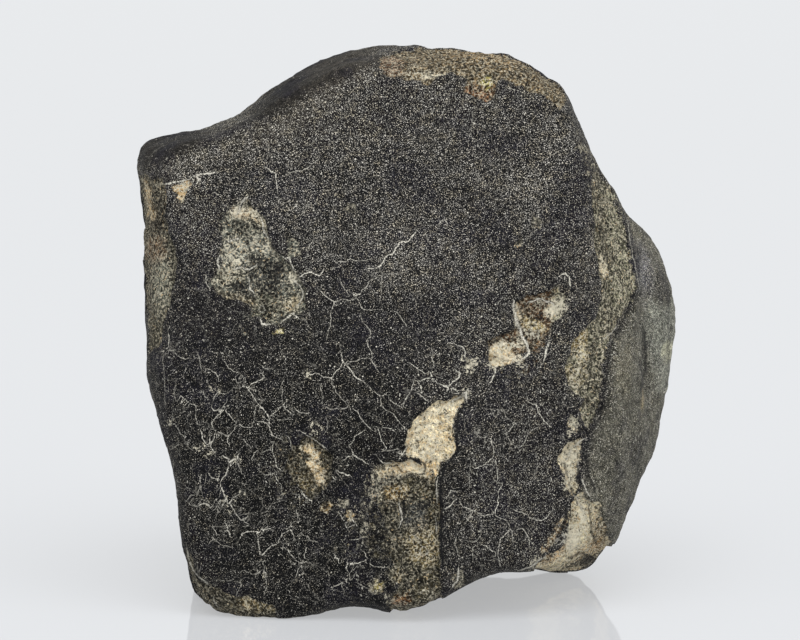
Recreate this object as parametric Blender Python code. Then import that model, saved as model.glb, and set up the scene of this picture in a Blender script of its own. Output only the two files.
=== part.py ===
"""A carbonaceous chondrite meteorite: one dark stone with a broad front face, chipped crust and hollowed sides.

The stone is drawn square on to its broad face, and then leans back a little to stand on its flat spot.
Drawing frame, in mm from the middle of the stone: X to the right, Y away from the broad face, Z up.
The finished stone is in metres, Z up, standing on z = 0, with its broad face toward -Y.
"""

import itertools
import math
from dataclasses import dataclass

import bmesh
import bpy
import numpy as np

MM = 0.001

# ---------------------------------------------------------------- driving sizes
LEAN = 10.0            # degrees the stone leans back from the way it is drawn
FOOT_DROP = 25.7       # mm from the middle of the stone down to the floor
FOOT_MIDDLE = (-6.5, -4.5)  # mm, the middle of the resting spot, which becomes the origin
CRISPNESS = 24.0       # higher makes the edges between the broad faces sharper
GRID = 120             # squares along each side of the cube the stone is blown up from
TRIANGLES = 9700       # triangles kept in the finished stone
CHIP_WALL = 0.45       # mm over which the wall of a chip falls to its floor
CHIP_FADE = 2.5        # mm over which a chip dies out where it wraps out of sight of its own bearing

# The outline seen square on: X and Z in mm.
OUTLINE = [
    (-26.6, 15.5), (-27.0, 18.0), (-27.1, 20.6), (-24.3, 21.2), (-20.5, 21.3), (-17.5, 22.4), (-13.5, 25.5),
    (-10.2, 29.1), (-6.4, 31.4), (-1.5, 31.8), (3.5, 30.4), (7.7, 30.4), (12.8, 27.9), (16.6, 24.4),
    (18.2, 20.5), (20.2, 16.2), (22.9, 12.7), (26.4, 8.2), (27.7, 3.6), (28.6, -3.1), (26.7, -11.3),
    (23.9, -16.7), (22.0, -21.6), (19.3, -24.4), (13.4, -23.8), (7.7, -24.5), (3.9, -26.8), (0.5, -27.9),
    (-3.5, -27.2), (-10.0, -28.5), (-16.4, -28.4), (-20.3, -26.7), (-21.6, -22.3), (-22.2, -16.3),
    (-24.1, -8.4), (-26.3, 1.5), (-26.2, 10.8),
]

# The broad faces: bearing round the stone (0 is the front, 90 the right, 180 the back) and tilt up, both in
# degrees, and distance from the middle in mm.
FACES = {
    "front, upper": (-3, 12, 15.7),
    "front, lower left": (-10, -5, 18.4),
    "front, lower right": (17, -7, 19.7),
    "top": (0, 78, 29.9),
    "left shoulder": (-63, 63, 28.8),
    "left cheek": (-52, 2, 26.6),
    "right strip": (48, 6, 23.9),
    "right side": (68, -3, 25.9),
    "right foot": (62, -38, 30.2),
    "back": (172, 6, 20.8),
    "back right shoulder": (136, 40, 26.4),
    "back left shoulder": (-150, 42, 24.8),
    "back left flank": (-126, -10, 25.4),
    "back right flank": (126, -12, 26.2),
    "back underside": (186, -40, 24.6),
}

# Thumbprint hollows: a point in mm that the hollow lies toward, its spread in degrees and its depth in mm.
# A depth below zero is a swell.
HOLLOWS = [
    # the front, and the sweep under the left shoulder
    ((-19.0, -6.0, 22.0), 13, 0.9),
    ((-6.0, -14.0, 14.0), 13, 0.5),
    ((9.0, -14.0, 15.0), 11, 0.4),
    ((2.0, -16.0, 4.0), 10, -0.3),
    ((-13.0, -16.0, -3.0), 13, 0.4),
    ((-3.0, -16.0, -19.0), 14, 0.5),
    ((14.0, -16.0, 2.0), 9, 0.5),
    ((14.0, -14.0, -12.0), 12, 0.5),
    ((10.0, -16.0, -9.0), 8, 0.3),
    # the right side: the valley in front of the rear lobe, the lobe itself, and two thumbprints below
    ((24.0, -2.0, 10.5), 8, 1.9),
    ((24.8, -4.0, 7.0), 6, 1.0),
    ((25.3, -3.8, 3.0), 6, 1.1),
    ((25.4, -3.5, -1.0), 6, 1.1),
    ((24.8, -3.8, -5.0), 6, 0.8),
    ((23.0, -9.0, -1.0), 7, 0.5),
    ((22.0, -9.0, -7.0), 7, 0.4),
    ((25.5, 7.0, 7.0), 12, -0.7),
    ((24.0, 2.0, -8.0), 12, 0.4),
    ((20.0, 12.0, -18.0), 12, 1.0),
    # the top and the left side
    ((2.0, 4.0, 28.0), 16, 0.8),
    ((-14.0, 10.0, 20.0), 13, 1.3),
    ((-25.0, 6.0, 6.0), 15, 1.0),
    ((-24.0, 4.0, -14.0), 13, 1.1),
    ((-18.0, -14.0, 4.0), 9, 0.5),
    # the back
    ((-9.0, 20.0, 9.0), 15, 1.9),
    ((9.0, 20.0, 12.0), 13, 1.6),
    ((1.0, 22.0, -7.0), 14, 1.8),
    ((17.0, 16.0, -4.0), 13, 1.5),
    ((-17.0, 16.0, -8.0), 13, 1.4),
    ((21.0, 12.0, 15.0), 11, 1.0),
    ((9.0, 16.0, -20.0), 12, 1.1),
    ((-10.0, 14.0, -20.0), 12, 1.1),
    ((-2.0, 18.0, 22.0), 12, 1.0),
]

# Slow unevenness over the whole stone: size and height of the lumps in each layer of it, in mm.
UNEVEN = [(9.0, 0.55), (4.5, 0.28)]
# How far the edge of a chip strays from its drawn line: size and reach of the teeth in each layer, in mm.
STRAY = [(2.0, 0.35)]
# Three unlike directions that scatter the lumps of the unevenness.
SCATTER = np.array([(127.1, 269.5, 419.2), (311.7, 183.3, 371.9), (74.7, 246.1, 124.6)])


@dataclass(frozen=True)
class Chip:
    """A place where the thin crust has broken away.

    It is drawn square on from one or more sides, each a bearing and a tilt up with a closed edge in mm to the right
    and mm up as seen from there, and covers what lies inside all of its edges. It reaches only the surface that lies
    more than `nearest` mm from the middle toward its first side.
    """

    depth: float
    nearest: float
    drawn: tuple


FRONT, RIGHT, BACK, LEFT, TOP, UNDER = (0, 0), (90, 0), (180, 0), (-90, 0), (0, 90), (0, -90)

CHIPS = {
    "grey": Chip(0.60, 4, ((FRONT, (
        (-18.1, 11.6), (-16.7, 13.3), (-15.5, 13.7), (-13.8, 11.8), (-13.4, 10.2), (-12.1, 8.1), (-10.5, 6.3),
        (-9.6, 4.5), (-9.7, 2.7), (-11.0, 1.8), (-13.2, 1.1), (-14.6, 2.1), (-15.8, 3.4), (-17.8, 3.7),
        (-19.4, 5.5), (-18.4, 6.9), (-18.2, 9.1))),)),
    "tan": Chip(0.55, 4, ((FRONT, (
        (0.4, -11.5), (0.8, -9.7), (2.1, -8.0), (3.8, -6.7), (5.2, -6.4), (6.6, -5.7), (6.7, -6.7), (5.6, -7.8),
        (5.5, -9.5), (5.5, -11.7), (4.3, -13.0), (3.8, -14.3), (2.5, -13.6), (2.4, -12.5), (1.2, -12.2),
        (0.2, -12.1))),)),
    "lower": Chip(0.55, 3, (
        (FRONT, ((-2.5, -13.5), (-0.9, -12.6), (1.1, -12.5), (2.5, -13.6), (3.8, -14.3), (4.0, -17.0), (3.9, -25.0),
                 (5.6, -32.0), (-3.0, -32.0), (0.0, -25.5), (-0.8, -22.5), (-1.5, -18.5), (-2.2, -16.5))),
        (UNDER, ((-4.0, 22.0), (-2.4, 10.4), (0.0, 8.2), (2.2, 9.6), (4.4, 7.8), (6.4, 10.6), (8.0, 22.0))))),
    "oval": Chip(0.45, 4, ((FRONT, (
        (-10.7, -11.5), (-9.6, -10.2), (-8.1, -10.6), (-6.9, -12.5), (-6.8, -13.8), (-7.6, -15.4),
        (-8.9, -16.7), (-10.0, -15.6), (-10.9, -13.8), (-11.1, -12.5))),)),
    "upper right": Chip(0.50, 4, ((FRONT, (
        (11.3, 3.0), (12.1, 3.4), (15.8, 5.0), (16.9, 4.2), (16.7, 3.5), (14.9, -0.4), (14.0, -1.9),
        (12.7, -1.7), (12.0, -2.5), (9.2, -3.4), (8.8, -2.2), (8.8, -0.5), (10.2, 0.0), (11.7, 0.9))),)),
    "left edge": Chip(0.50, -8, (
        (FRONT, ((-25.9, 16.3), (-24.0, 15.9), (-23.5, 14.0), (-24.0, 12.0), (-22.8, 9.5), (-22.7, 5.5),
                 (-23.2, 3.5), (-24.0, 0.5), (-24.2, -1.0), (-27.0, -3.0), (-31.0, 5.0), (-31.0, 17.0))),
        (LEFT, ((15.0, 18.0), (2.0, 17.2), (-1.5, 14.2), (-0.6, 10.4), (2.4, 7.6), (1.6, 3.4), (4.4, 0.0),
                (15.0, -5.0))))),
    "top": Chip(0.50, -9, (
        (FRONT, ((-2.0, 27.5), (-1.5, 26.3), (0.0, 26.0), (1.5, 26.0), (2.8, 25.3), (4.0, 26.3), (5.5, 26.7),
                 (7.0, 26.0), (6.5, 24.7), (7.8, 23.7), (9.5, 24.0), (10.0, 26.0), (13.0, 25.0), (14.5, 24.5),
                 (16.0, 23.0), (16.8, 23.7), (17.5, 26.0), (14.0, 34.0), (-3.0, 34.0))),
        (TOP, ((-2.6, -16.0), (18.0, -16.0), (17.4, -6.0), (14.6, -1.6), (10.2, -0.4), (7.4, 3.4), (3.0, 2.4),
               (1.2, -2.2), (-1.8, -5.4))))),
    "right strip": Chip(0.50, -5, (
        (FRONT, ((19.4, 16.2), (20.4, 16.6), (21.9, 13.4), (22.8, 11.0), (23.2, 9.0), (24.0, 6.0), (24.0, 3.5),
                 (22.8, 2.2), (22.0, 0.5), (21.0, -1.5), (20.7, -3.5), (20.4, -6.5), (20.0, -8.5), (19.0, -9.7),
                 (18.3, -8.5), (18.5, -6.5), (17.0, -5.0), (16.5, -3.5), (17.5, -1.0), (18.3, 0.5), (19.8, 1.7),
                 (20.4, 3.5), (20.0, 6.5), (19.7, 9.5))),
        (RIGHT, ((-20.0, -11.0), (-20.0, 18.0), (-9.4, 17.2), (-6.6, 10.4), (-4.2, 6.2), (-6.8, 1.4),
                 (-9.0, -4.0), (-11.0, -11.0))))),
    "right groove": Chip(0.70, -9, (
        (FRONT, ((23.4, 4.9), (22.8, 2.7), (21.9, 0.9), (21.0, -0.7), (20.7, -2.5), (20.6, -4.0), (20.1, -7.0),
                 (18.8, -9.9), (19.7, -10.4), (20.9, -8.5), (21.3, -5.5), (21.7, -2.5), (22.0, -0.9), (22.8, 0.6),
                 (23.7, 2.2), (24.4, 4.2))),)),
    "low right": Chip(0.50, 0, ((FRONT, (
        (18.8, -9.9), (17.1, -10.8), (15.8, -12.5), (16.5, -14.0), (16.5, -15.2), (17.4, -16.2), (17.6, -14.8),
        (18.1, -12.9), (18.6, -10.8))),)),
    "right corner": Chip(0.60, -9, (
        (FRONT, ((17.7, -16.4), (18.5, -16.1), (19.1, -16.9), (20.0, -17.0), (20.2, -18.2), (20.8, -19.3),
                 (21.2, -20.5), (22.0, -22.4), (20.0, -30.0), (8.0, -30.0), (13.0, -24.2), (14.5, -22.7),
                 (16.1, -21.7), (16.9, -20.7), (17.1, -19.2), (17.5, -17.7))),
        (UNDER, ((12.6, 22.0), (12.0, 8.0), (13.6, 3.4), (12.8, -0.6), (15.6, -3.8), (18.8, -6.6), (22.0, -5.0),
                 (27.0, -6.0), (28.0, 22.0))))),
    "left foot": Chip(0.45, -4, (
        (FRONT, ((-21.6, -21.5), (-20.5, -24.2), (-18.3, -25.6), (-16.3, -26.3), (-12.8, -27.1), (-11.6, -32.0),
                 (-28.0, -32.0), (-26.0, -23.0))),
        (LEFT, ((20.0, -34.0), (20.0, -18.0), (8.4, -21.0), (5.2, -24.2), (3.0, -34.0))))),
    "back, high": Chip(0.60, 6, ((BACK, (
        (-11.4, 4.4), (-10.6, 8.2), (-7.6, 9.0), (-5.8, 11.4), (-2.2, 9.8), (-0.6, 6.2), (-3.0, 4.2),
        (-3.8, 0.6), (-7.0, 0.0), (-8.8, 2.8))),)),
    "back, low": Chip(0.55, 6, ((BACK, (
        (7.4, -4.2), (9.6, -3.8), (11.0, -1.4), (14.6, -3.4), (13.6, -6.6), (15.0, -9.8), (12.6, -12.0),
        (10.6, -9.8), (8.4, -9.2))),)),
    "back, top": Chip(0.50, 3, ((BACK, (
        (0.0, 16.4), (3.2, 19.6), (5.6, 18.0), (9.2, 18.6), (8.4, 14.6), (5.2, 14.0), (4.0, 12.0), (1.6, 13.0))),)),
    "left side": Chip(0.60, 6, ((LEFT, (
        (-11.4, -2.6), (-10.8, 1.2), (-7.6, 1.6), (-5.6, 4.6), (-2.6, 2.8), (-3.6, -0.8), (-6.0, -2.0),
        (-7.0, -5.2), (-9.6, -5.4))),)),
    "right side, low": Chip(0.55, 6, ((RIGHT, (
        (5.0, -13.2), (6.2, -15.6), (9.0, -14.8), (11.8, -16.4), (14.0, -13.8), (12.2, -11.4), (8.8, -11.8),
        (7.4, -10.6))),)),
}


def toward(bearing: float, tilt: float) -> np.ndarray:
    """A direction of length one from its bearing round the stone and its tilt up, in degrees."""
    a, e = math.radians(bearing), math.radians(tilt)
    return np.array([math.sin(a) * math.cos(e), -math.cos(a) * math.cos(e), math.sin(e)])


def eased(t: np.ndarray) -> np.ndarray:
    """0 below 0, 1 above 1 and a smooth step between."""
    t = np.clip(t, 0, 1)
    return t * t * (3 - 2 * t)


def outline_reach(angle: np.ndarray) -> np.ndarray:
    """How far the outline lies from the middle at each angle: a closed smooth curve through its points."""
    points = np.array(OUTLINE)
    at = np.arctan2(points[:, 1], points[:, 0])
    order = np.argsort(at)
    at, reach = at[order], np.hypot(points[:, 0], points[:, 1])[order]
    at = np.concatenate([at[-2:] - 2 * math.pi, at, at[:2] + 2 * math.pi])
    reach = np.concatenate([reach[-2:], reach, reach[:2]])
    gap = np.diff(at)
    rise = np.diff(reach) / gap
    slope = np.zeros_like(reach)
    slope[1:-1] = (rise[:-1] * gap[1:] + rise[1:] * gap[:-1]) / (gap[1:] + gap[:-1])
    k = np.clip(np.searchsorted(at, angle, side="right") - 1, 1, len(at) - 3)
    t = (angle - at[k]) / gap[k]
    ends = (2 * t**3 - 3 * t**2 + 1) * reach[k] + (3 * t**2 - 2 * t**3) * reach[k + 1]
    return ends + gap[k] * ((t**3 - 2 * t**2 + t) * slope[k] + (t**3 - t**2) * slope[k + 1])


def blocked_out(u: np.ndarray) -> np.ndarray:
    """How far the blocked-out stone reaches along each direction u: its outline and broad faces, edges eased."""
    total = (np.hypot(u[:, 0], u[:, 2]) / outline_reach(np.arctan2(u[:, 2], u[:, 0]))) ** CRISPNESS
    for bearing, tilt, distance in FACES.values():
        total += (np.maximum(u @ toward(bearing, tilt), 0) / distance) ** CRISPNESS
    return total ** (-1 / CRISPNESS)


def hollowed(u: np.ndarray, reach: np.ndarray) -> np.ndarray:
    """The reach with the thumbprint hollows pressed in."""
    for point, spread, depth in HOLLOWS:
        middle = np.array(point) / np.linalg.norm(point)
        away = np.degrees(np.arccos(np.clip(u @ middle, -1, 1)))
        reach = reach - depth * np.exp(-((away / spread) ** 2))
    return reach


def wander(p: np.ndarray, size: float) -> np.ndarray:
    """An irregular smooth value near -1 to 1 at each point, in lumps of about `size` mm.

    Each corner of a lattice of that size leans its own scattered way, and the leans of the eight corners round a
    point are blended.
    """
    q = p / size + size
    corner = np.floor(q)
    f = q - corner
    blend = f**3 * (f * (6 * f - 15) + 10)
    total = np.zeros(len(p))
    for step in itertools.product((0.0, 1.0), repeat=3):
        lean = np.sin((corner + step) @ SCATTER) * 43758.5453
        lean = 2 * (lean - np.floor(lean)) - 1
        share = np.prod(np.where(step, blend, 1 - blend), axis=1)
        total += share * ((f - step) * lean).sum(axis=1)
    return 1.7 * total


def inside(edge: tuple, h: np.ndarray, v: np.ndarray) -> np.ndarray:
    """Distance in mm from each place to a closed edge, above zero inside it."""
    nearest, within = np.full(h.shape, np.inf), np.zeros(h.shape, bool)
    for (ah, av), (bh, bv) in zip(edge, edge[1:] + edge[:1]):
        dh, dv = bh - ah, bv - av
        t = np.clip(((h - ah) * dh + (v - av) * dv) / (dh * dh + dv * dv), 0, 1)
        nearest = np.minimum(nearest, np.hypot(h - ah - t * dh, v - av - t * dv))
        if dv:
            within ^= ((av > v) != (bv > v)) & (h < ah + (v - av) * dh / dv)
    return np.where(within, nearest, -nearest)


def square_on(p: np.ndarray, bearing: float, tilt: float) -> tuple[np.ndarray, np.ndarray]:
    """How far to the right and how far up each point lies, in mm, seen square on from one side."""
    b, e = math.radians(bearing), math.radians(tilt)
    across = np.array([math.cos(b), math.sin(b), 0.0])
    upward = np.array([-math.sin(b) * math.sin(e), math.cos(b) * math.sin(e), math.cos(e)])
    return p @ across, p @ upward


def chipped(p: np.ndarray) -> np.ndarray:
    """How deep the chips have taken the surface at each point, in mm."""
    stray = sum(reach * wander(p, length) for length, reach in STRAY)
    deepest = np.zeros(len(p))
    for chip in CHIPS.values():
        within = np.min([inside(edge, *square_on(p, *side)) for side, edge in chip.drawn], axis=0)
        facing = p @ toward(*chip.drawn[0][0])
        wall = eased((within + stray) / CHIP_WALL + 0.5) * eased((facing - chip.nearest) / CHIP_FADE)
        deepest = np.maximum(deepest, chip.depth * wall)
    return deepest


def stood_up(p: np.ndarray) -> np.ndarray:
    """Drawn points, in mm, turned to stand on the floor, in metres."""
    lean = math.radians(LEAN)
    x, y, z = p.T
    deep, high = y * math.cos(lean) + z * math.sin(lean), z * math.cos(lean) - y * math.sin(lean)
    return MM * np.stack([x - FOOT_MIDDLE[0], deep - FOOT_MIDDLE[1], high + FOOT_DROP], axis=1)


def stone_points(u: np.ndarray) -> np.ndarray:
    """The point of the stone's surface along each direction u, in metres, before its foot is cut flat."""
    reach = hollowed(u, blocked_out(u))
    p = u * reach[:, None]
    reach = reach + sum(height * wander(p, length) for length, height in UNEVEN) - chipped(p)
    return stood_up(u * reach[:, None])


# ---- building


def blown_up_cube() -> bpy.types.Object:
    """The whole stone as one closed mesh, from a cube with gridded sides whose points move out to its surface."""
    body = bmesh.new()
    bmesh.ops.create_cube(body, size=2.0)
    bmesh.ops.subdivide_edges(body, edges=body.edges[:], cuts=GRID - 1, use_grid_fill=True)
    mesh = bpy.data.meshes.new("meteorite")
    body.to_mesh(mesh)
    body.free()
    flat = np.empty(len(mesh.vertices) * 3)
    mesh.vertices.foreach_get("co", flat)
    u = np.tan(flat.reshape(-1, 3) * math.pi / 4)
    u /= np.linalg.norm(u, axis=1)[:, None]
    mesh.vertices.foreach_set("co", stone_points(u).ravel())
    stone = bpy.data.objects.new("meteorite", mesh)
    bpy.context.scene.collection.objects.link(stone)
    return stone


def thinned(stone: bpy.types.Object) -> None:
    """Keeps most triangles where the surface turns, so that chip walls and edges stay crisp."""
    cut = stone.modifiers.new("thin out", "DECIMATE")
    cut.ratio = TRIANGLES / (12 * GRID * GRID)
    bpy.context.view_layer.update()
    lean = stone.evaluated_get(bpy.context.evaluated_depsgraph_get())
    mesh = bpy.data.meshes.new_from_object(lean)
    stone.modifiers.remove(cut)
    stone.data = mesh


def foot_cut_flat(stone: bpy.types.Object) -> None:
    """Cuts the stone off level at the floor and closes it with its flat resting spot."""
    body = bmesh.new()
    body.from_mesh(stone.data)
    whole = body.verts[:] + body.edges[:] + body.faces[:]
    cut = bmesh.ops.bisect_plane(body, geom=whole, dist=0.00008, plane_co=(0, 0, 0), plane_no=(0, 0, 1),
                                 clear_inner=True)
    rim = [part for part in cut["geom_cut"] if isinstance(part, bmesh.types.BMEdge)]
    for edge in rim:
        for vertex in edge.verts:
            vertex.co.z = 0.0
    bmesh.ops.holes_fill(body, edges=[edge for edge in body.edges if edge.is_boundary], sides=0)
    bmesh.ops.recalc_face_normals(body, faces=body.faces[:])
    body.to_mesh(stone.data)
    body.free()


def crisp_foot_rim(mesh: bpy.types.Mesh) -> None:
    """Marks the rim of the flat spot as a sharp edge, with the rest of the stone shaded smooth."""
    for edge in mesh.edges:
        edge.use_edge_sharp = all(abs(mesh.vertices[k].co.z) < 1e-7 for k in edge.vertices)


def crust_material() -> bpy.types.Material:
    """Near-black matt fusion crust."""
    material = bpy.data.materials.new("fusion crust")
    material.use_nodes = True
    shader = material.node_tree.nodes["Principled BSDF"]
    shader.inputs["Base Color"].default_value = (0.045, 0.042, 0.039, 1.0)
    shader.inputs["Roughness"].default_value = 0.85
    material.diffuse_color = (0.045, 0.042, 0.039, 1.0)
    return material


def main() -> None:
    """Clears the scene and makes the stone."""
    for thing in list(bpy.data.objects):
        bpy.data.objects.remove(thing)
    stone = blown_up_cube()
    thinned(stone)
    foot_cut_flat(stone)
    stone.data.name = "meteorite"
    stone.data.materials.append(crust_material())
    stone.data.shade_smooth()
    crisp_foot_rim(stone.data)


main()
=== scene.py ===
"""The finished look of a carbonaceous chondrite meteorite standing on a pale glossy shelf.

The stone's shape is worked out in its drawing frame: mm from the middle of the stone, X to the right, Y
away from its broad front face, Z up. It then leans back and stands on z = 0, in metres.
"""

import itertools
import logging
import math
from dataclasses import dataclass
from enum import Enum
from typing import Any

import bpy
import numpy as np
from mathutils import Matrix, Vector


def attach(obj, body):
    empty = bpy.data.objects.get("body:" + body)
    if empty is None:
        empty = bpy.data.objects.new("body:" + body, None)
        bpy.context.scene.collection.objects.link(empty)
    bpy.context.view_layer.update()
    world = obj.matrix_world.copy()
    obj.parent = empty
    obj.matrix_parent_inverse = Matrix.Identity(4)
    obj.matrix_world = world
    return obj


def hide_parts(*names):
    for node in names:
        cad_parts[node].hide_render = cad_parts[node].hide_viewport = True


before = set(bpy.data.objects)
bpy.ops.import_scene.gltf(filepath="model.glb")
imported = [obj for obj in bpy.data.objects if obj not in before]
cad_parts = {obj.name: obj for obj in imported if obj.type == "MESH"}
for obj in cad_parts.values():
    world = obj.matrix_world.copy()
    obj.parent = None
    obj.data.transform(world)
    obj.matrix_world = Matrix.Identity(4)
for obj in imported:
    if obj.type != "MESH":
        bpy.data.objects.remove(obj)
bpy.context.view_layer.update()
LOG = logging.getLogger("meteorite")
MM = 0.001
FIELD_MM = 3.0  # how far from its edge, in mm, the field of an area still changes
NO_LINE_MM = 9.0  # taken as the distance to the nearest line before one is found

# Three unlike directions that scatter the lumps of every irregular value.
SCATTER = np.array([(127.1, 269.5, 419.2), (311.7, 183.3, 371.9), (74.7, 246.1, 124.6)])


# ------------------------------------------------------------------ small helpers
def linear(shade: str) -> tuple[float, float, float]:
    """Turns an sRGB hex colour to linear light.

    Args:
        shade: Six hex digits, such as "4f4c49".

    Returns:
        Red, green and blue from 0 to 1.
    """
    parts = (int(shade[k:k + 2], 16) / 255 for k in (0, 2, 4))
    return tuple(c / 12.92 if c <= 0.04045 else ((c + 0.055) / 1.055) ** 2.4 for c in parts)


def paint(shade: str) -> tuple[float, float, float, float]:
    """The linear colour of a hex shade with full cover, as a colour socket takes it."""
    return (*linear(shade), 1.0)


def toward(bearing: float, tilt: float) -> np.ndarray:
    """A direction of length one from a bearing round the stone and a tilt up, both in degrees."""
    a, e = math.radians(bearing), math.radians(tilt)
    return np.array([math.sin(a) * math.cos(e), -math.cos(a) * math.cos(e), math.sin(e)])


def eased(t: np.ndarray) -> np.ndarray:
    """0 below 0, 1 above 1 and a smooth step between."""
    t = np.clip(t, 0, 1)
    return t * t * (3 - 2 * t)


def wander(p: np.ndarray, size: float) -> np.ndarray:
    """An irregular smooth value at each point.

    Formula: each corner of a lattice leans its own scattered way, and the leans of the eight corners
    round a point are blended by a fifth-power step along each axis.

    Args:
        p: Points in mm, one a row.
        size: Size of the lumps in mm.

    Returns:
        One value near -1 to 1 for each point.
    """
    q = p / size + size
    corner = np.floor(q)
    f = q - corner
    blend = f**3 * (f * (6 * f - 15) + 10)
    total = np.zeros(len(p))
    for step in itertools.product((0.0, 1.0), repeat=3):
        lean = np.sin((corner + step) @ SCATTER) * 43758.5453
        lean = 2 * (lean - np.floor(lean)) - 1
        share = np.prod(np.where(step, blend, 1 - blend), axis=1)
        total += share * ((f - step) * lean).sum(axis=1)
    return 1.7 * total


def layered(p: np.ndarray, layers: tuple) -> np.ndarray:
    """The sum of irregular layers at each point, each layer a (size, height) pair in mm."""
    return sum(height * wander(p, size) for size, height in layers)


def add(tree: bpy.types.NodeTree, kind: str, inputs: dict[str | int, Any] | None = None,
        **settings: Any) -> bpy.types.Node:
    """Adds one node with its settings, its values and its links.

    Args:
        tree: The node tree it joins.
        kind: The node's type name.
        inputs: For each input, by name or number, the socket that feeds it or its value.
        settings: The node's own settings.

    Returns:
        The new node.
    """
    made = tree.nodes.new(kind)
    for name, value in settings.items():
        setattr(made, name, value)
    for key, value in (inputs or {}).items():
        if isinstance(value, bpy.types.NodeSocket):
            tree.links.new(value, made.inputs[key])
        else:
            made.inputs[key].default_value = value
    return made


MATH, VECTOR, RANGE = "ShaderNodeMath", "ShaderNodeVectorMath", "ShaderNodeMapRange"
MIX = "ShaderNodeMix"
NOISE, CELLS, FROM_MESH = "ShaderNodeTexNoise", "ShaderNodeTexVoronoi", "ShaderNodeAttribute"


# ------------------------------------------------------------------ drawing on the stone
class Side(Enum):
    """The side that something is drawn square on to: its bearing and its tilt up, in degrees."""

    FRONT = (0, 0)
    RIGHT = (90, 0)
    BACK = (180, 0)
    LEFT = (-90, 0)
    TOP = (0, 90)
    UNDER = (0, -90)

    def square_on(self, p: np.ndarray) -> tuple[np.ndarray, np.ndarray]:
        """How far to the right and how far up each point lies, in mm, seen square on from this side."""
        b, e = (math.radians(angle) for angle in self.value)
        across = np.array([math.cos(b), math.sin(b), 0.0])
        upward = np.array([-math.sin(b) * math.sin(e), math.cos(b) * math.sin(e), math.cos(e)])
        return p @ across, p @ upward


@dataclass(frozen=True)
class Edge:
    """A closed edge drawn square on to one side, its points in mm to the right and mm up."""

    side: Side
    points: tuple

    def within(self, p: np.ndarray) -> np.ndarray:
        """Distance in mm from each point to the edge, above zero inside it."""
        h, v = self.side.square_on(p)
        nearest, inside = np.full(h.shape, np.inf), np.zeros(h.shape, bool)
        for (ah, av), (bh, bv) in zip(self.points, self.points[1:] + self.points[:1]):
            dh, dv = bh - ah, bv - av
            t = np.clip(((h - ah) * dh + (v - av) * dv) / (dh * dh + dv * dv), 0, 1)
            nearest = np.minimum(nearest, np.hypot(h - ah - t * dh, v - av - t * dv))
            if dv:
                inside ^= ((av > v) != (bv > v)) & (h < ah + (v - av) * dh / dv)
        return np.where(inside, nearest, -nearest)


@dataclass(frozen=True)
class Blob:
    """An oval drawn square on to one side: its middle and half widths in mm, and degrees turned left."""

    side: Side
    middle: tuple
    half: tuple
    turn: float = 0.0

    def within(self, p: np.ndarray) -> np.ndarray:
        """About the distance in mm from each point to the oval, above zero inside it."""
        h, v = self.side.square_on(p)
        c, s = math.cos(math.radians(self.turn)), math.sin(math.radians(self.turn))
        h, v = h - self.middle[0], v - self.middle[1]
        along, across = (h * c + v * s) / self.half[0], (v * c - h * s) / self.half[1]
        return (1 - np.hypot(along, across)) * min(self.half)


@dataclass(frozen=True)
class Chip:
    """A place where the thin crust has broken away, covering what lies inside all of its edges.

    It reaches only the surface that lies more than `nearest` mm from the middle toward its first side. A
    groove is a chip that doesn't show bare rock.
    """

    depth: float
    nearest: float
    drawn: tuple
    bare: bool = True

    def within(self, p: np.ndarray) -> np.ndarray:
        """Distance in mm from each point to the chip's edge, above zero inside it."""
        return np.min([edge.within(p) for edge in self.drawn], axis=0)

    def facing(self, p: np.ndarray) -> np.ndarray:
        """How far in mm each point lies past where the chip starts."""
        return p @ toward(*self.drawn[0].side.value) - self.nearest


class Layer(Enum):
    """What a wash of colour goes on."""

    CRUST = "crust"
    ROCK = "rock"


@dataclass(frozen=True)
class Wash:
    """A wash of one shade on the crust or on the bare rock, mostly a stain, in places painted shade, its
    border `soft` mm wide.
    """

    layer: Layer
    shade: str
    strength: float
    soft: float
    shapes: tuple
    nearest: float = 0.0

    def cover(self, p: np.ndarray, stray: np.ndarray) -> np.ndarray:
        """How strongly the wash covers each point, from 0 to its strength."""
        within = np.min([shape.within(p) for shape in self.shapes], axis=0)
        facing = p @ toward(*self.shapes[0].side.value) - self.nearest
        return self.strength * eased((within + stray) / self.soft + 0.5) * eased(facing / 2.0)


def stains(nearest: float, *rows: tuple) -> tuple:
    """Washes on the bare rock that start at one distance, each an oval on the front.

    Args:
        nearest: How far in mm toward the front the washes start.
        rows: For each, its shade, strength and soft border, then the oval's middle, half widths and turn.

    Returns:
        One wash for each row.
    """
    return tuple(Wash(Layer.ROCK, shade, strength, soft, (Blob(Side.FRONT, *oval),), nearest)
                 for shade, strength, soft, *oval in rows)


def ovals(*rows: tuple) -> tuple:
    """Ovals on the front, each from a row of its middle, half widths and turn."""
    return tuple(Blob(Side.FRONT, *row) for row in rows)


# ------------------------------------------------------------------ the stone's form
# The outline seen square on: X and Z in mm. A program fitted these points; they weren't chosen by hand.
OUTLINE = (
    (-26.6, 15.5), (-27.0, 18.0), (-27.1, 20.6), (-24.3, 21.2), (-20.5, 21.3), (-17.5, 22.4),
    (-13.5, 25.5), (-10.2, 29.1), (-6.4, 31.4), (-1.5, 31.8), (3.5, 30.4), (7.7, 30.4), (12.8, 27.9),
    (16.6, 24.4), (18.2, 20.5), (20.2, 16.2), (22.9, 12.7), (26.4, 8.2), (27.7, 3.6), (28.6, -3.1),
    (26.7, -11.3), (23.9, -16.7), (22.0, -21.6), (19.3, -24.4), (13.4, -23.8), (7.7, -24.5), (3.9, -26.8),
    (0.5, -27.9), (-3.5, -27.2), (-10.0, -28.5), (-16.4, -28.4), (-20.3, -26.7), (-21.6, -22.3),
    (-22.2, -16.3), (-24.1, -8.4), (-26.3, 1.5), (-26.2, 10.8),
)

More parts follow.
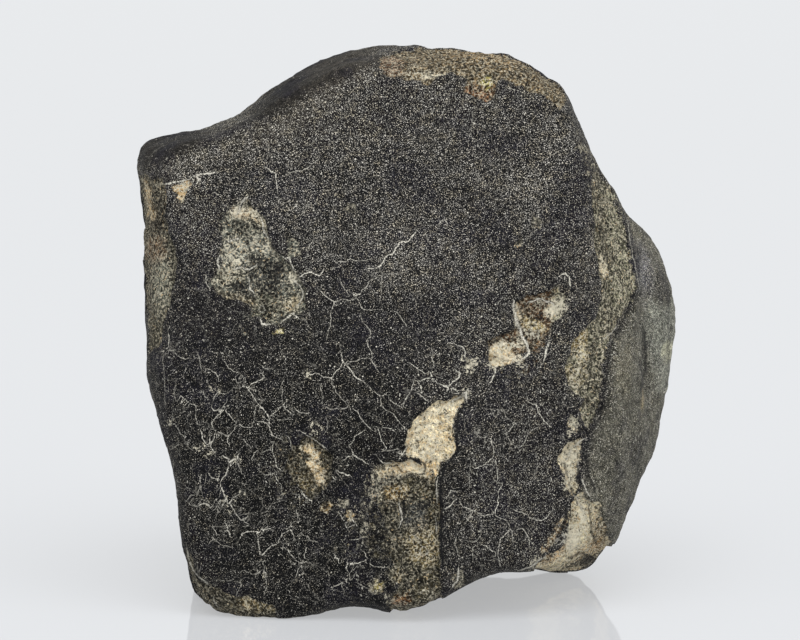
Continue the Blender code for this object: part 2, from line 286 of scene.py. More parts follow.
# Bearing round the stone and tilt up in degrees, and distance from the middle in mm, of each broad face.
FACES = (
    (-3, 12, 15.7), (-10, -5, 18.4), (17, -7, 19.7),            # front: upper, lower left, lower right
    (0, 78, 29.9), (-63, 63, 28.8), (-52, 2, 26.6),             # top, left shoulder, left cheek
    (48, 6, 23.9), (68, -3, 25.9), (62, -38, 30.2),             # right strip, right side, right foot
    (172, 6, 20.8), (136, 40, 26.4), (-150, 42, 24.8),          # back and its two shoulders
    (-126, -10, 25.4), (126, -12, 26.2), (186, -40, 24.6),      # back flanks and back underside
)

# A point in mm that each thumbprint hollow lies toward, its spread in degrees and its depth in mm.
HOLLOWS = (
    ((-19.0, -6.0, 22.0), 13, 0.9), ((-6.0, -14.0, 14.0), 13, 0.5), ((9.0, -14.0, 15.0), 11, 0.4),
    ((2.0, -16.0, 4.0), 10, -0.3), ((-13.0, -16.0, -3.0), 13, 0.4), ((-3.0, -16.0, -19.0), 14, 0.5),
    ((14.0, -16.0, 2.0), 9, 0.5), ((14.0, -14.0, -12.0), 12, 0.5), ((10.0, -16.0, -9.0), 8, 0.3),
    ((24.0, -2.0, 10.5), 8, 1.9), ((24.8, -4.0, 7.0), 6, 1.0), ((25.3, -3.8, 3.0), 6, 1.1),
    ((25.4, -3.5, -1.0), 6, 1.1), ((24.8, -3.8, -5.0), 6, 0.8), ((23.0, -9.0, -1.0), 7, 0.5),
    ((22.0, -9.0, -7.0), 7, 0.4), ((25.5, 7.0, 7.0), 12, -0.7), ((24.0, 2.0, -8.0), 12, 0.4),
    ((20.0, 12.0, -18.0), 12, 1.0), ((2.0, 4.0, 28.0), 16, 0.8), ((-14.0, 10.0, 20.0), 13, 1.3),
    ((-25.0, 6.0, 6.0), 15, 1.0), ((-24.0, 4.0, -14.0), 13, 1.1), ((-18.0, -14.0, 4.0), 9, 0.5),
    ((-9.0, 20.0, 9.0), 15, 1.9), ((9.0, 20.0, 12.0), 13, 1.6), ((1.0, 22.0, -7.0), 14, 1.8),
    ((17.0, 16.0, -4.0), 13, 1.5), ((-17.0, 16.0, -8.0), 13, 1.4), ((21.0, 12.0, 15.0), 11, 1.0),
    ((9.0, 16.0, -20.0), 12, 1.1), ((-10.0, 14.0, -20.0), 12, 1.1), ((-2.0, 18.0, 22.0), 12, 1.0),
)

F, R, B, L, T, U = Side.FRONT, Side.RIGHT, Side.BACK, Side.LEFT, Side.TOP, Side.UNDER

GREY_EDGE = ((-18.1, 11.6), (-16.7, 13.3), (-15.5, 13.7), (-13.8, 11.8), (-13.4, 10.2), (-12.1, 8.1),
    (-10.5, 6.3), (-9.6, 4.5), (-9.7, 2.7), (-11.0, 1.8), (-13.2, 1.1), (-14.6, 2.1), (-15.8, 3.4),
    (-17.8, 3.7), (-19.4, 5.5), (-18.4, 6.9), (-18.2, 9.1))
TAN_EDGE = ((0.4, -11.5), (0.8, -9.7), (2.1, -8.0), (3.8, -6.7), (5.2, -6.4), (6.6, -5.7), (6.7, -6.7),
    (5.6, -7.8), (5.5, -9.5), (5.5, -11.7), (4.3, -13.0), (3.8, -14.3), (2.5, -13.6), (2.4, -12.5),
    (1.2, -12.2), (0.2, -12.1))
LOWER_EDGE = ((-2.5, -13.5), (-0.9, -12.6), (1.1, -12.5), (2.5, -13.6), (3.8, -14.3), (4.0, -17.0),
    (3.9, -25.0), (5.6, -32.0), (-3.0, -32.0), (0.0, -25.5), (-0.8, -22.5), (-1.5, -18.5), (-2.2, -16.5))
OVAL_EDGE = ((-10.7, -11.5), (-9.6, -10.2), (-8.1, -10.6), (-6.9, -12.5), (-6.8, -13.8), (-7.6, -15.4),
    (-8.9, -16.7), (-10.0, -15.6), (-10.9, -13.8), (-11.1, -12.5))
UPPER_RIGHT_EDGE = ((11.3, 3.0), (12.1, 3.4), (15.8, 5.0), (16.9, 4.2), (16.7, 3.5), (14.9, -0.4),
    (14.0, -1.9), (12.7, -1.7), (12.0, -2.5), (9.2, -3.4), (8.8, -2.2), (8.8, -0.5), (10.2, 0.0),
    (11.7, 0.9))
LEFT_EDGE = ((-25.9, 16.3), (-24.0, 15.9), (-23.5, 14.0), (-24.0, 12.0), (-22.8, 9.5), (-22.7, 5.5),
    (-23.2, 3.5), (-24.0, 0.5), (-24.2, -1.0), (-27.0, -3.0), (-31.0, 5.0), (-31.0, 17.0))
TOP_EDGE = ((-2.0, 27.5), (-1.5, 26.3), (0.0, 26.0), (1.5, 26.0), (2.8, 25.3), (4.0, 26.3), (5.5, 26.7),
    (7.0, 26.0), (6.5, 24.7), (7.8, 23.7), (9.5, 24.0), (10.0, 26.0), (13.0, 25.0), (14.5, 24.5),
    (16.0, 23.0), (16.8, 23.7), (17.5, 26.0), (14.0, 34.0), (-3.0, 34.0))
STRIP_EDGE = ((19.4, 16.2), (20.4, 16.6), (21.9, 13.4), (22.8, 11.0), (23.2, 9.0), (24.0, 6.0),
    (24.0, 3.5), (22.8, 2.2), (22.0, 0.5), (21.0, -1.5), (20.7, -3.5), (20.4, -6.5), (20.0, -8.5),
    (19.0, -9.7), (18.3, -8.5), (18.5, -6.5), (17.0, -5.0), (16.5, -3.5), (17.5, -1.0), (18.3, 0.5),
    (19.8, 1.7), (20.4, 3.5), (20.0, 6.5), (19.7, 9.5))
GROOVE_EDGE = ((23.4, 4.9), (22.8, 2.7), (21.9, 0.9), (21.0, -0.7), (20.7, -2.5), (20.6, -4.0),
    (20.1, -7.0), (18.8, -9.9), (19.7, -10.4), (20.9, -8.5), (21.3, -5.5), (21.7, -2.5), (22.0, -0.9),
    (22.8, 0.6), (23.7, 2.2), (24.4, 4.2))
LOW_RIGHT_EDGE = ((18.8, -9.9), (17.1, -10.8), (15.8, -12.5), (16.5, -14.0), (16.5, -15.2), (17.4, -16.2),
    (17.6, -14.8), (18.1, -12.9), (18.6, -10.8))
CORNER_EDGE = ((17.7, -16.4), (18.5, -16.1), (19.1, -16.9), (20.0, -17.0), (20.2, -18.2), (20.8, -19.3),
    (21.2, -20.5), (22.0, -22.4), (20.0, -30.0), (8.0, -30.0), (13.0, -24.2), (14.5, -22.7),
    (16.1, -21.7), (16.9, -20.7), (17.1, -19.2), (17.5, -17.7))
LEFT_FOOT_EDGE = ((-21.6, -21.5), (-20.5, -24.2), (-18.3, -25.6), (-16.3, -26.3), (-12.8, -27.1),
    (-11.6, -32.0), (-28.0, -32.0), (-26.0, -23.0))

CHIPS = {
    "grey": Chip(0.60, 4, (Edge(F, GREY_EDGE),)),
    "tan": Chip(0.55, 4, (Edge(F, TAN_EDGE),)),
    "lower": Chip(0.55, 3, (Edge(F, LOWER_EDGE), Edge(U, ((-4.0, 22.0), (-2.4, 10.4), (0.0, 8.2),
        (2.2, 9.6), (4.4, 7.8), (6.4, 10.6), (8.0, 22.0))))),
    "oval": Chip(0.45, 4, (Edge(F, OVAL_EDGE),)),
    "upper right": Chip(0.50, 4, (Edge(F, UPPER_RIGHT_EDGE),)),
    "left edge": Chip(0.50, -8, (Edge(F, LEFT_EDGE), Edge(L, ((15.0, 18.0), (2.0, 17.2), (-1.5, 14.2),
        (-0.6, 10.4), (2.4, 7.6), (1.6, 3.4), (4.4, 0.0), (15.0, -5.0))))),
    "top": Chip(0.50, -9, (Edge(F, TOP_EDGE), Edge(T, ((-2.6, -16.0), (18.0, -16.0), (17.4, -6.0),
        (14.6, -1.6), (10.2, -0.4), (7.4, 3.4), (3.0, 2.4), (1.2, -2.2), (-1.8, -5.4))))),
    "right strip": Chip(0.50, -5, (Edge(F, STRIP_EDGE), Edge(R, ((-20.0, -11.0), (-20.0, 18.0),
        (-9.4, 17.2), (-6.6, 10.4), (-4.2, 6.2), (-6.8, 1.4), (-9.0, -4.0), (-11.0, -11.0))))),
    "right groove": Chip(0.70, -9, (Edge(F, GROOVE_EDGE),), bare=False),
    "low right": Chip(0.50, 0, (Edge(F, LOW_RIGHT_EDGE),)),
    "right corner": Chip(0.60, -9, (Edge(F, CORNER_EDGE), Edge(U, ((12.6, 22.0), (12.0, 8.0), (13.6, 3.4),
        (12.8, -0.6), (15.6, -3.8), (18.8, -6.6), (22.0, -5.0), (27.0, -6.0), (28.0, 22.0))))),
    "left foot": Chip(0.45, -4, (Edge(F, LEFT_FOOT_EDGE), Edge(L, ((20.0, -34.0), (20.0, -18.0),
        (8.4, -21.0), (5.2, -24.2), (3.0, -34.0))))),
    "back, high": Chip(0.60, 6, (Edge(B, ((-11.4, 4.4), (-10.6, 8.2), (-7.6, 9.0), (-5.8, 11.4),
        (-2.2, 9.8), (-0.6, 6.2), (-3.0, 4.2), (-3.8, 0.6), (-7.0, 0.0), (-8.8, 2.8))),)),
    "back, low": Chip(0.55, 6, (Edge(B, ((7.4, -4.2), (9.6, -3.8), (11.0, -1.4), (14.6, -3.4),
        (13.6, -6.6), (15.0, -9.8), (12.6, -12.0), (10.6, -9.8), (8.4, -9.2))),)),
    "back, top": Chip(0.50, 3, (Edge(B, ((0.0, 16.4), (3.2, 19.6), (5.6, 18.0), (9.2, 18.6), (8.4, 14.6),
        (5.2, 14.0), (4.0, 12.0), (1.6, 13.0))),)),
    "left side": Chip(0.60, 6, (Edge(L, ((-11.4, -2.6), (-10.8, 1.2), (-7.6, 1.6), (-5.6, 4.6),
        (-2.6, 2.8), (-3.6, -0.8), (-6.0, -2.0), (-7.0, -5.2), (-9.6, -5.4))),)),
    "right side, low": Chip(0.55, 6, (Edge(R, ((5.0, -13.2), (6.2, -15.6), (9.0, -14.8), (11.8, -16.4),
        (14.0, -13.8), (12.2, -11.4), (8.8, -11.8), (7.4, -10.6))),)),
}

# Small shallow chips that the plain solid leaves out.
NICKS = {
    "satellite": Chip(0.20, 4, (Edge(F, ((-11.8, 10.2), (-10.4, 10.0), (-10.2, 8.2), (-11.2, 7.6))),)),
    "white triangle": Chip(0.25, -8, (Edge(F, ((-23.4, 15.4), (-22.9, 14.9), (-22.3, 15.2), (-21.3, 15.5),
        (-21.7, 14.0), (-22.1, 13.1), (-22.6, 14.4))),)),
    "froth": Chip(0.20, 4, (Edge(F, ((6.6, -2.2), (7.4, -2.6), (7.6, -3.4), (6.6, -3.2))),)),
    "low specks": Chip(0.20, 0, (Edge(F, ((17.0, -7.8), (18.0, -8.4), (17.6, -9.6), (16.8, -9.0))),)),
    "bottom spot": Chip(0.25, 2, (Edge(F, ((-0.9, -26.2), (1.0, -26.4), (0.9, -27.3), (-0.8, -27.0))),)),
    "bottom sliver": Chip(0.20, 0, (Edge(F, ((5.4, -24.2), (6.2, -23.6), (6.4, -24.8), (5.6, -25.2))),)),
}


@dataclass(frozen=True)
class StoneForm:
    """The meteorite's whole surface as one distance along each direction from its middle. Sizes in mm."""

    lean: float = 10.0
    foot_drop: float = 25.7
    foot_middle: tuple = (-6.5, -4.5)
    crispness: float = 24.0
    chip_wall: float = 0.45
    chip_fade: float = 2.5
    uneven: tuple = ((9.0, 0.55), (4.5, 0.28))
    stray: tuple = ((2.0, 0.35), (0.75, 0.16))
    crust_relief: tuple = ((2.6, 0.13), (1.3, 0.10), (0.7, 0.07))
    rock_relief: tuple = ((2.1, 0.22), (1.1, 0.20), (0.65, 0.15))

    def outline_reach(self, angle: np.ndarray) -> np.ndarray:
        """How far the outline lies from the middle at each angle: cubic arcs closed through its points."""
        points = np.array(OUTLINE)
        at = np.arctan2(points[:, 1], points[:, 0])
        order = np.argsort(at)
        at, reach = at[order], np.hypot(points[:, 0], points[:, 1])[order]
        at = np.concatenate([at[-2:] - 2 * math.pi, at, at[:2] + 2 * math.pi])
        reach = np.concatenate([reach[-2:], reach, reach[:2]])
        gap = np.diff(at)
        rise = np.diff(reach) / gap
        slope = np.zeros_like(reach)
        slope[1:-1] = (rise[:-1] * gap[1:] + rise[1:] * gap[:-1]) / (gap[1:] + gap[:-1])
        k = np.clip(np.searchsorted(at, angle, side="right") - 1, 1, len(at) - 3)
        t = (angle - at[k]) / gap[k]
        ends = (2 * t**3 - 3 * t**2 + 1) * reach[k] + (3 * t**2 - 2 * t**3) * reach[k + 1]
        return ends + gap[k] * ((t**3 - 2 * t**2 + t) * slope[k] + (t**3 - t**2) * slope[k + 1])

    def body(self, u: np.ndarray) -> np.ndarray:
        """How far the stone reaches along each direction before its crust is chipped.

        Formula: the outline's and each broad face's share of the way along u, each raised to a high
        power, are summed, and the sum's root turned over gives the reach, so edges are eased. The
        thumbprint hollows, each a bell curve of the angle from its middle, are then taken away, and slow
        unevenness is added.

        Args:
            u: Directions of length one.

        Returns:
            The reach in mm along each.
        """
        outline = self.outline_reach(np.arctan2(u[:, 2], u[:, 0]))
        total = (np.hypot(u[:, 0], u[:, 2]) / outline) ** self.crispness
        for bearing, tilt, distance in FACES:
            total += (np.maximum(u @ toward(bearing, tilt), 0) / distance) ** self.crispness
        reach = total ** (-1 / self.crispness)
        for point, spread, depth in HOLLOWS:
            middle = np.array(point) / np.linalg.norm(point)
            away = np.degrees(np.arccos(np.clip(u @ middle, -1, 1)))
            reach = reach - depth * np.exp(-((away / spread) ** 2))
        return reach + layered(u * reach[:, None], self.uneven)

    def chipped(self, p: np.ndarray) -> tuple[np.ndarray, np.ndarray]:
        """How deep the chips take each point, and how far inside bare rock it lies, both in mm."""
        stray = layered(p, self.stray)
        depth, bare = np.zeros(len(p)), np.full(len(p), -FIELD_MM)
        for chip in (*CHIPS.values(), *NICKS.values()):
            within, facing = chip.within(p) + stray, chip.facing(p)
            depth = np.maximum(depth, chip.depth * eased(within / self.chip_wall + 0.5)
                               * eased(facing / self.chip_fade))
            if chip.bare:
                bare = np.maximum(bare, np.minimum(within, facing - 0.5 * self.chip_fade))
        return depth, np.clip(bare, -FIELD_MM, FIELD_MM)

    def surface(self, u: np.ndarray) -> tuple[np.ndarray, np.ndarray]:
        """The finished surface along each direction: body, chips and fine relief, cut flat at the floor.

        Args:
            u: Directions of length one.

        Returns:
            Points in mm in the drawing frame, and how far inside bare rock each lies in mm.
        """
        reach = self.body(u)
        p = u * reach[:, None]
        depth, bare = self.chipped(p)
        rough = eased(bare / 0.6 + 0.3)
        reach = reach - depth + (1 - rough) * layered(p, self.crust_relief)
        reach = reach + rough * layered(p, self.rock_relief)
        lean = math.radians(self.lean)
        fall = u[:, 1] * math.sin(lean) - u[:, 2] * math.cos(lean)
        reach = np.minimum(reach, self.foot_drop / np.maximum(fall, 1e-6))
        return u * reach[:, None], bare

    def stood_up(self, p: np.ndarray) -> np.ndarray:
        """Drawn points, in mm, turned to stand on the floor, in metres."""
        lean = math.radians(self.lean)
        x, y, z = p.T
        deep, high = y * math.cos(lean) + z * math.sin(lean), z * math.cos(lean) - y * math.sin(lean)
        right, away = self.foot_middle
        stood = np.stack([x - right, deep - away, high + self.foot_drop], axis=1)
        return MM * np.where(np.abs(stood) < 1e-9, 0.0, stood)


# ------------------------------------------------------------------ colour and cracks on the stone
ON_EDGES = -12  # mm toward the front, far enough back for a wash to reach round the stone's edges

# Seen from the right: a pale worn patch on the rear lobe.
PALE_SIDE = Edge(R, ((-5.0, 1.5), (-3.0, 3.8), (0.5, 2.6), (3.0, 4.6), (6.6, 3.0), (8.4, -0.2),
    (6.2, -2.4), (7.0, -5.4), (4.0, -7.6), (1.4, -5.2), (-1.5, -7.0), (-4.0, -4.0), (-6.0, -2.5)))

WASHES = (
    # crust: black low on the left and low on the right, partly its own dark colour, partly painted shade
    # where the face turns down
    Wash(Layer.CRUST, "09090a", 0.95, 9.0, (Blob(F, (-9.0, -15.0), (15.0, 14.0)),)),
    # crust: brown left shoulder, olive right side with its paler rim and rear lobe, dark lower left
    Wash(Layer.CRUST, "3a3630", 0.8, 3.0, (Edge(F, ((-31.0, 24.0), (-25.0, 15.7), (-18.5, 17.5),
        (-11.0, 20.5), (-6.0, 24.6), (-2.0, 27.0), (-2.0, 36.0), (-31.0, 36.0))),), ON_EDGES),
    Wash(Layer.CRUST, "56544a", 0.9, 1.2, (Edge(F, ((22.6, 16.0), (23.6, 10.0), (24.2, 4.0), (22.6, 1.2),
        (21.4, -1.0), (20.9, -6.4), (19.6, -10.0), (18.8, -13.0), (18.4, -16.0), (21.0, -20.0),
        (22.5, -25.0), (40.0, -25.0), (40.0, 22.0))),), ON_EDGES),
    # painted shade: a darker bluish wash in the crease between the right strip and the rear lobe
    Wash(Layer.CRUST, "4c4c54", 0.7, 1.2, (Blob(F, (24.7, 6.4), (0.9, 2.6), 8),), ON_EDGES),
    Wash(Layer.CRUST, "7e7f74", 0.8, 1.6, (Edge(F, ((25.2, 4.0), (27.0, 3.8), (33.0, 5.0), (33.0, -8.0),
        (26.4, -5.6), (25.6, -3.0), (24.8, 0.0))), PALE_SIDE), -10),
    Wash(Layer.CRUST, "8a7c5e", 0.7, 0.5, (Blob(F, (24.5, -6.0), (0.5, 1.6), -8), Blob(R, (-5.5, -6.4),
        (2.0, 1.5), 35)), ON_EDGES),
    Wash(Layer.CRUST, "bdbb9f", 0.7, 0.5, (Blob(F, (27.4, -1.8), (0.6, 1.3), 5), Blob(R, (1.0, -2.0),
        (2.4, 1.4), 25)), ON_EDGES),
    Wash(Layer.CRUST, "6b6654", 0.5, 1.0, (Blob(F, (22.6, -3.6), (0.8, 2.4), -5),), ON_EDGES),
    Wash(Layer.CRUST, "1f1d1b", 0.8, 3.0, (Blob(F, (-19.0, 22.0), (11.0, 4.0), 28),), ON_EDGES),
    *stains(0,
        # the grey chip: tan cap, black remnants, pale rim
        ("585a52", 1.0, 0.5, (-14.5, 7.5), (7.0, 8.0)),
        ("b5a184", 0.8, 0.4, (-16.2, 12.4), (1.1, 0.45), -25),
        ("a89a7c", 0.7, 0.3, (-14.1, 11.6), (1.5, 0.4), -55),
        ("47483f", 0.6, 0.8, (-15.4, 10.6), (1.6, 1.2)),
        ("8f8f84", 0.65, 0.8, (-16.8, 8.0), (1.4, 1.8)),
        ("8c8b80", 0.6, 0.8, (-14.0, 8.9), (1.6, 0.9), -20),
        ("3c3b2f", 0.8, 0.8, (-13.6, 2.8), (1.8, 1.5)),
        ("3b3b3a", 0.6, 0.8, (-13.4, 6.0), (2.4, 1.6), -20),
        ("8b8674", 0.6, 0.6, (-17.2, 6.0), (1.5, 1.0)),
        ("6e614a", 0.6, 0.6, (-16.6, 3.6), (1.9, 0.7), -20),
        ("2e2e2f", 0.7, 0.8, (-15.6, 4.6), (1.2, 0.8)),
        ("a8997a", 0.6, 0.5, (-10.6, 3.2), (0.9, 0.6), 30),
        # the tan chip: chalky, with a warmer foot
        ("cfc1a0", 1.0, 0.8, (3.2, -9.6), (4.6, 4.6)),
        ("c9b283", 0.6, 0.8, (4.8, -10.8), (0.9, 2.6), 5),
        ("bf9f6c", 0.7, 0.6, (3.4, -13.4), (0.9, 0.9)),
        ("cdb48c", 0.95, 0.4, (0.1, -13.2), (1.1, 0.8), 20),
        # the lower chip: greenish brown, tan flecked
        ("454031", 1.0, 0.6, (1.2, -20.5), (4.5, 6.6)),
        ("8a7a54", 0.55, 0.8, (2.2, -20.8), (1.6, 2.2), 20),
        ("3d3b34", 0.7, 1.2, (-0.6, -18.6), (1.4, 3.4)),
        ("b3a383", 0.8, 0.5, (-1.2, -13.4), (1.2, 0.5), 20),
        ("a08450", 0.7, 0.4, (-0.4, -15.6), (1.0, 0.7)),
        ("34352f", 0.7, 0.6, (1.6, -17.2), (1.3, 1.0), 30),
        ("4b4e50", 0.6, 0.6, (1.6, -18.4), (1.1, 1.4)),
        ("9a7f52", 0.9, 0.2, (-7.3, -17.1), (0.8, 0.8)),
        ("8f7a56", 0.9, 0.2, (-5.0, -17.9), (0.7, 0.7)),
        ("a9a070", 0.9, 0.2, (-12.0, 0.4), (0.8, 0.6)),
        ("b59c68", 0.9, 0.2, (-0.3, -24.0), (0.45, 0.45)),
        ("a8995a", 0.9, 0.2, (-2.3, -25.1), (0.4, 0.4)),
        ("8a5c38", 0.7, 0.3, (0.0, -26.5), (1.0, 0.5)),
        ("3e3d35", 0.6, 0.8, (0.0, -24.0), (2.0, 1.6)),
        # the oval chip
        ("413c2f", 1.0, 0.5, (-9.0, -13.4), (3.0, 4.2)),
        ("6f6242", 0.6, 0.5, (-9.6, -15.0), (0.8, 1.2), -20),
    ),
    Wash(Layer.ROCK, "c8ae83", 0.95, 0.25, (Edge(F, ((-9.9, -10.9), (-8.9, -10.9), (-8.0, -11.7),
        (-8.1, -12.7), (-7.5, -13.6), (-7.4, -14.8), (-8.2, -14.9), (-8.6, -13.8), (-9.2, -13.0),
        (-9.0, -12.0))),)),
    *stains(0,
        ("b7a27c", 0.7, 0.3, (-9.2, -11.2), (0.6, 0.4)),
        # the upper right chip: brown with a bright end and a frothy pale foot
        ("54402d", 1.0, 0.5, (13.4, 0.8), (5.0, 4.6)),
        ("c6bda4", 0.95, 0.5, (15.7, 2.8), (1.4, 0.9), 35),
        ("c9b48c", 0.9, 0.5, (10.0, -2.0), (1.3, 1.3), 40),
        ("b9b09a", 0.85, 0.4, (11.7, 1.6), (0.3, 2.4), 14),
        ("a39468", 0.7, 0.5, (13.0, 1.0), (1.4, 0.6), -10),
        ("d0c6b0", 0.8, 0.3, (11.6, -2.4), (0.9, 0.4)),
    ),
    *stains(ON_EDGES,
        # left edge, shoulder nick and left foot
        ("514d41", 1.0, 0.6, (-25.5, 7.5), (4.4, 10.5)),
        ("7f8274", 0.6, 0.8, (-24.0, 5.2), (0.9, 3.0)),
        ("765c43", 0.7, 0.6, (-24.6, 8.6), (1.1, 1.3)),
        ("332b22", 0.8, 0.8, (-24.2, 12.4), (1.2, 2.0)),
        ("b09468", 0.8, 0.3, (-25.3, 13.6), (0.35, 1.9), 10),
        ("b8996c", 0.9, 0.4, (-22.2, 14.8), (1.3, 1.1)),
        ("423e33", 0.9, 0.6, (-18.0, -26.0), (7.5, 4.0), -20),
        ("8d7d58", 0.6, 0.5, (-14.4, -27.0), (2.0, 0.6), -6),
        # the top: brown, rusty where it dips over the front, with a yellow-green grain
        ("5e513c", 1.0, 0.6, (8.0, 28.0), (13.0, 7.0)),
        ("7d6440", 0.6, 1.6, (9.0, 28.6), (5.0, 1.2), -8),
        ("7d5238", 0.6, 0.6, (8.0, 24.3), (1.5, 0.9)),
        ("725243", 0.5, 0.7, (-0.8, 27.0), (1.2, 1.2)),
        ("a9a55c", 0.9, 0.3, (8.6, 25.3), (0.5, 0.5)),
        ("b9b3a0", 0.7, 0.3, (3.4, 26.0), (1.4, 0.25), 10),
        # the right strip: olive grey with rusty and pale spots on its left border
        ("6e6c59", 1.0, 0.6, (20.6, 2.0), (5.4, 13.0)),
        ("3f3a31", 0.75, 1.4, (20.2, 9.6), (0.9, 6.8), 4),
        ("48453a", 0.7, 1.4, (19.6, -5.0), (1.5, 4.8), 8),
        ("4d493d", 0.6, 1.0, (20.8, 1.6), (1.6, 1.4), 30),
        ("8a7440", 0.7, 0.5, (17.8, -0.4), (0.9, 1.3), -20),
        ("a99a74", 0.7, 0.4, (18.2, -1.8), (0.5, 1.2), 8),
        ("7d7254", 0.6, 0.5, (17.4, -4.0), (1.2, 1.2)),
        ("b8ac90", 0.8, 0.3, (20.4, 6.6), (0.4, 1.0), 10),
        # low right flake and the pale right corner
        ("bfb498", 1.0, 0.5, (17.2, -13.0), (2.2, 4.0)),
        ("b0a486", 1.0, 0.6, (18.0, -21.0), (5.2, 5.4)),
        ("cfc4a0", 0.8, 0.6, (17.9, -20.2), (0.9, 2.6), 12),
        ("8c6f45", 0.6, 0.8, (20.2, -21.4), (0.8, 1.6), 15),
        ("8a6238", 0.6, 0.6, (15.6, -21.6), (2.4, 0.6), 48),
        ("b5a988", 0.7, 0.6, (15.6, -23.6), (3.0, 0.7), 4),
        ("6e5a3e", 0.7, 0.6, (20.1, -19.8), (0.8, 1.4), 15),
        ("3a332a", 0.8, 0.6, (18.9, -23.0), (1.5, 0.7), 5),
        ("5c4c38", 0.7, 0.5, (17.2, -18.6), (0.4, 1.6)),
        ("6b5f49", 0.6, 0.6, (17.6, -14.0), (0.8, 1.6), -10),
        ("7d5f3c", 0.9, 0.4, (15.3, -20.2), (0.8, 2.3), -32),
        ("8f6f45", 0.6, 0.6, (19.0, -21.6), (1.3, 0.7), 15),
    ),
    # tan hearts of the chips that face away
    Wash(Layer.ROCK, "b3a27c", 0.8, 0.8, (Blob(B, (-4.8, 7.4), (2.2, 1.4), 30),)),
    Wash(Layer.ROCK, "a99368", 0.7, 0.8, (Blob(B, (12.4, -6.4), (1.6, 2.4), 10),)),
    Wash(Layer.ROCK, "7d6a4c", 0.7, 0.8, (Blob(B, (4.6, 16.4), (2.6, 1.4), 10),)),
    Wash(Layer.ROCK, "b0a283", 0.8, 0.8, (Blob(L, (-7.4, -0.6), (2.0, 1.3), 40),)),
    Wash(Layer.ROCK, "9a8a66", 0.7, 0.8, (Blob(R, (9.6, -13.4), (2.6, 1.0), 0),)),
)

HAIR = 0.05  # mm, half the width of a hairline crack
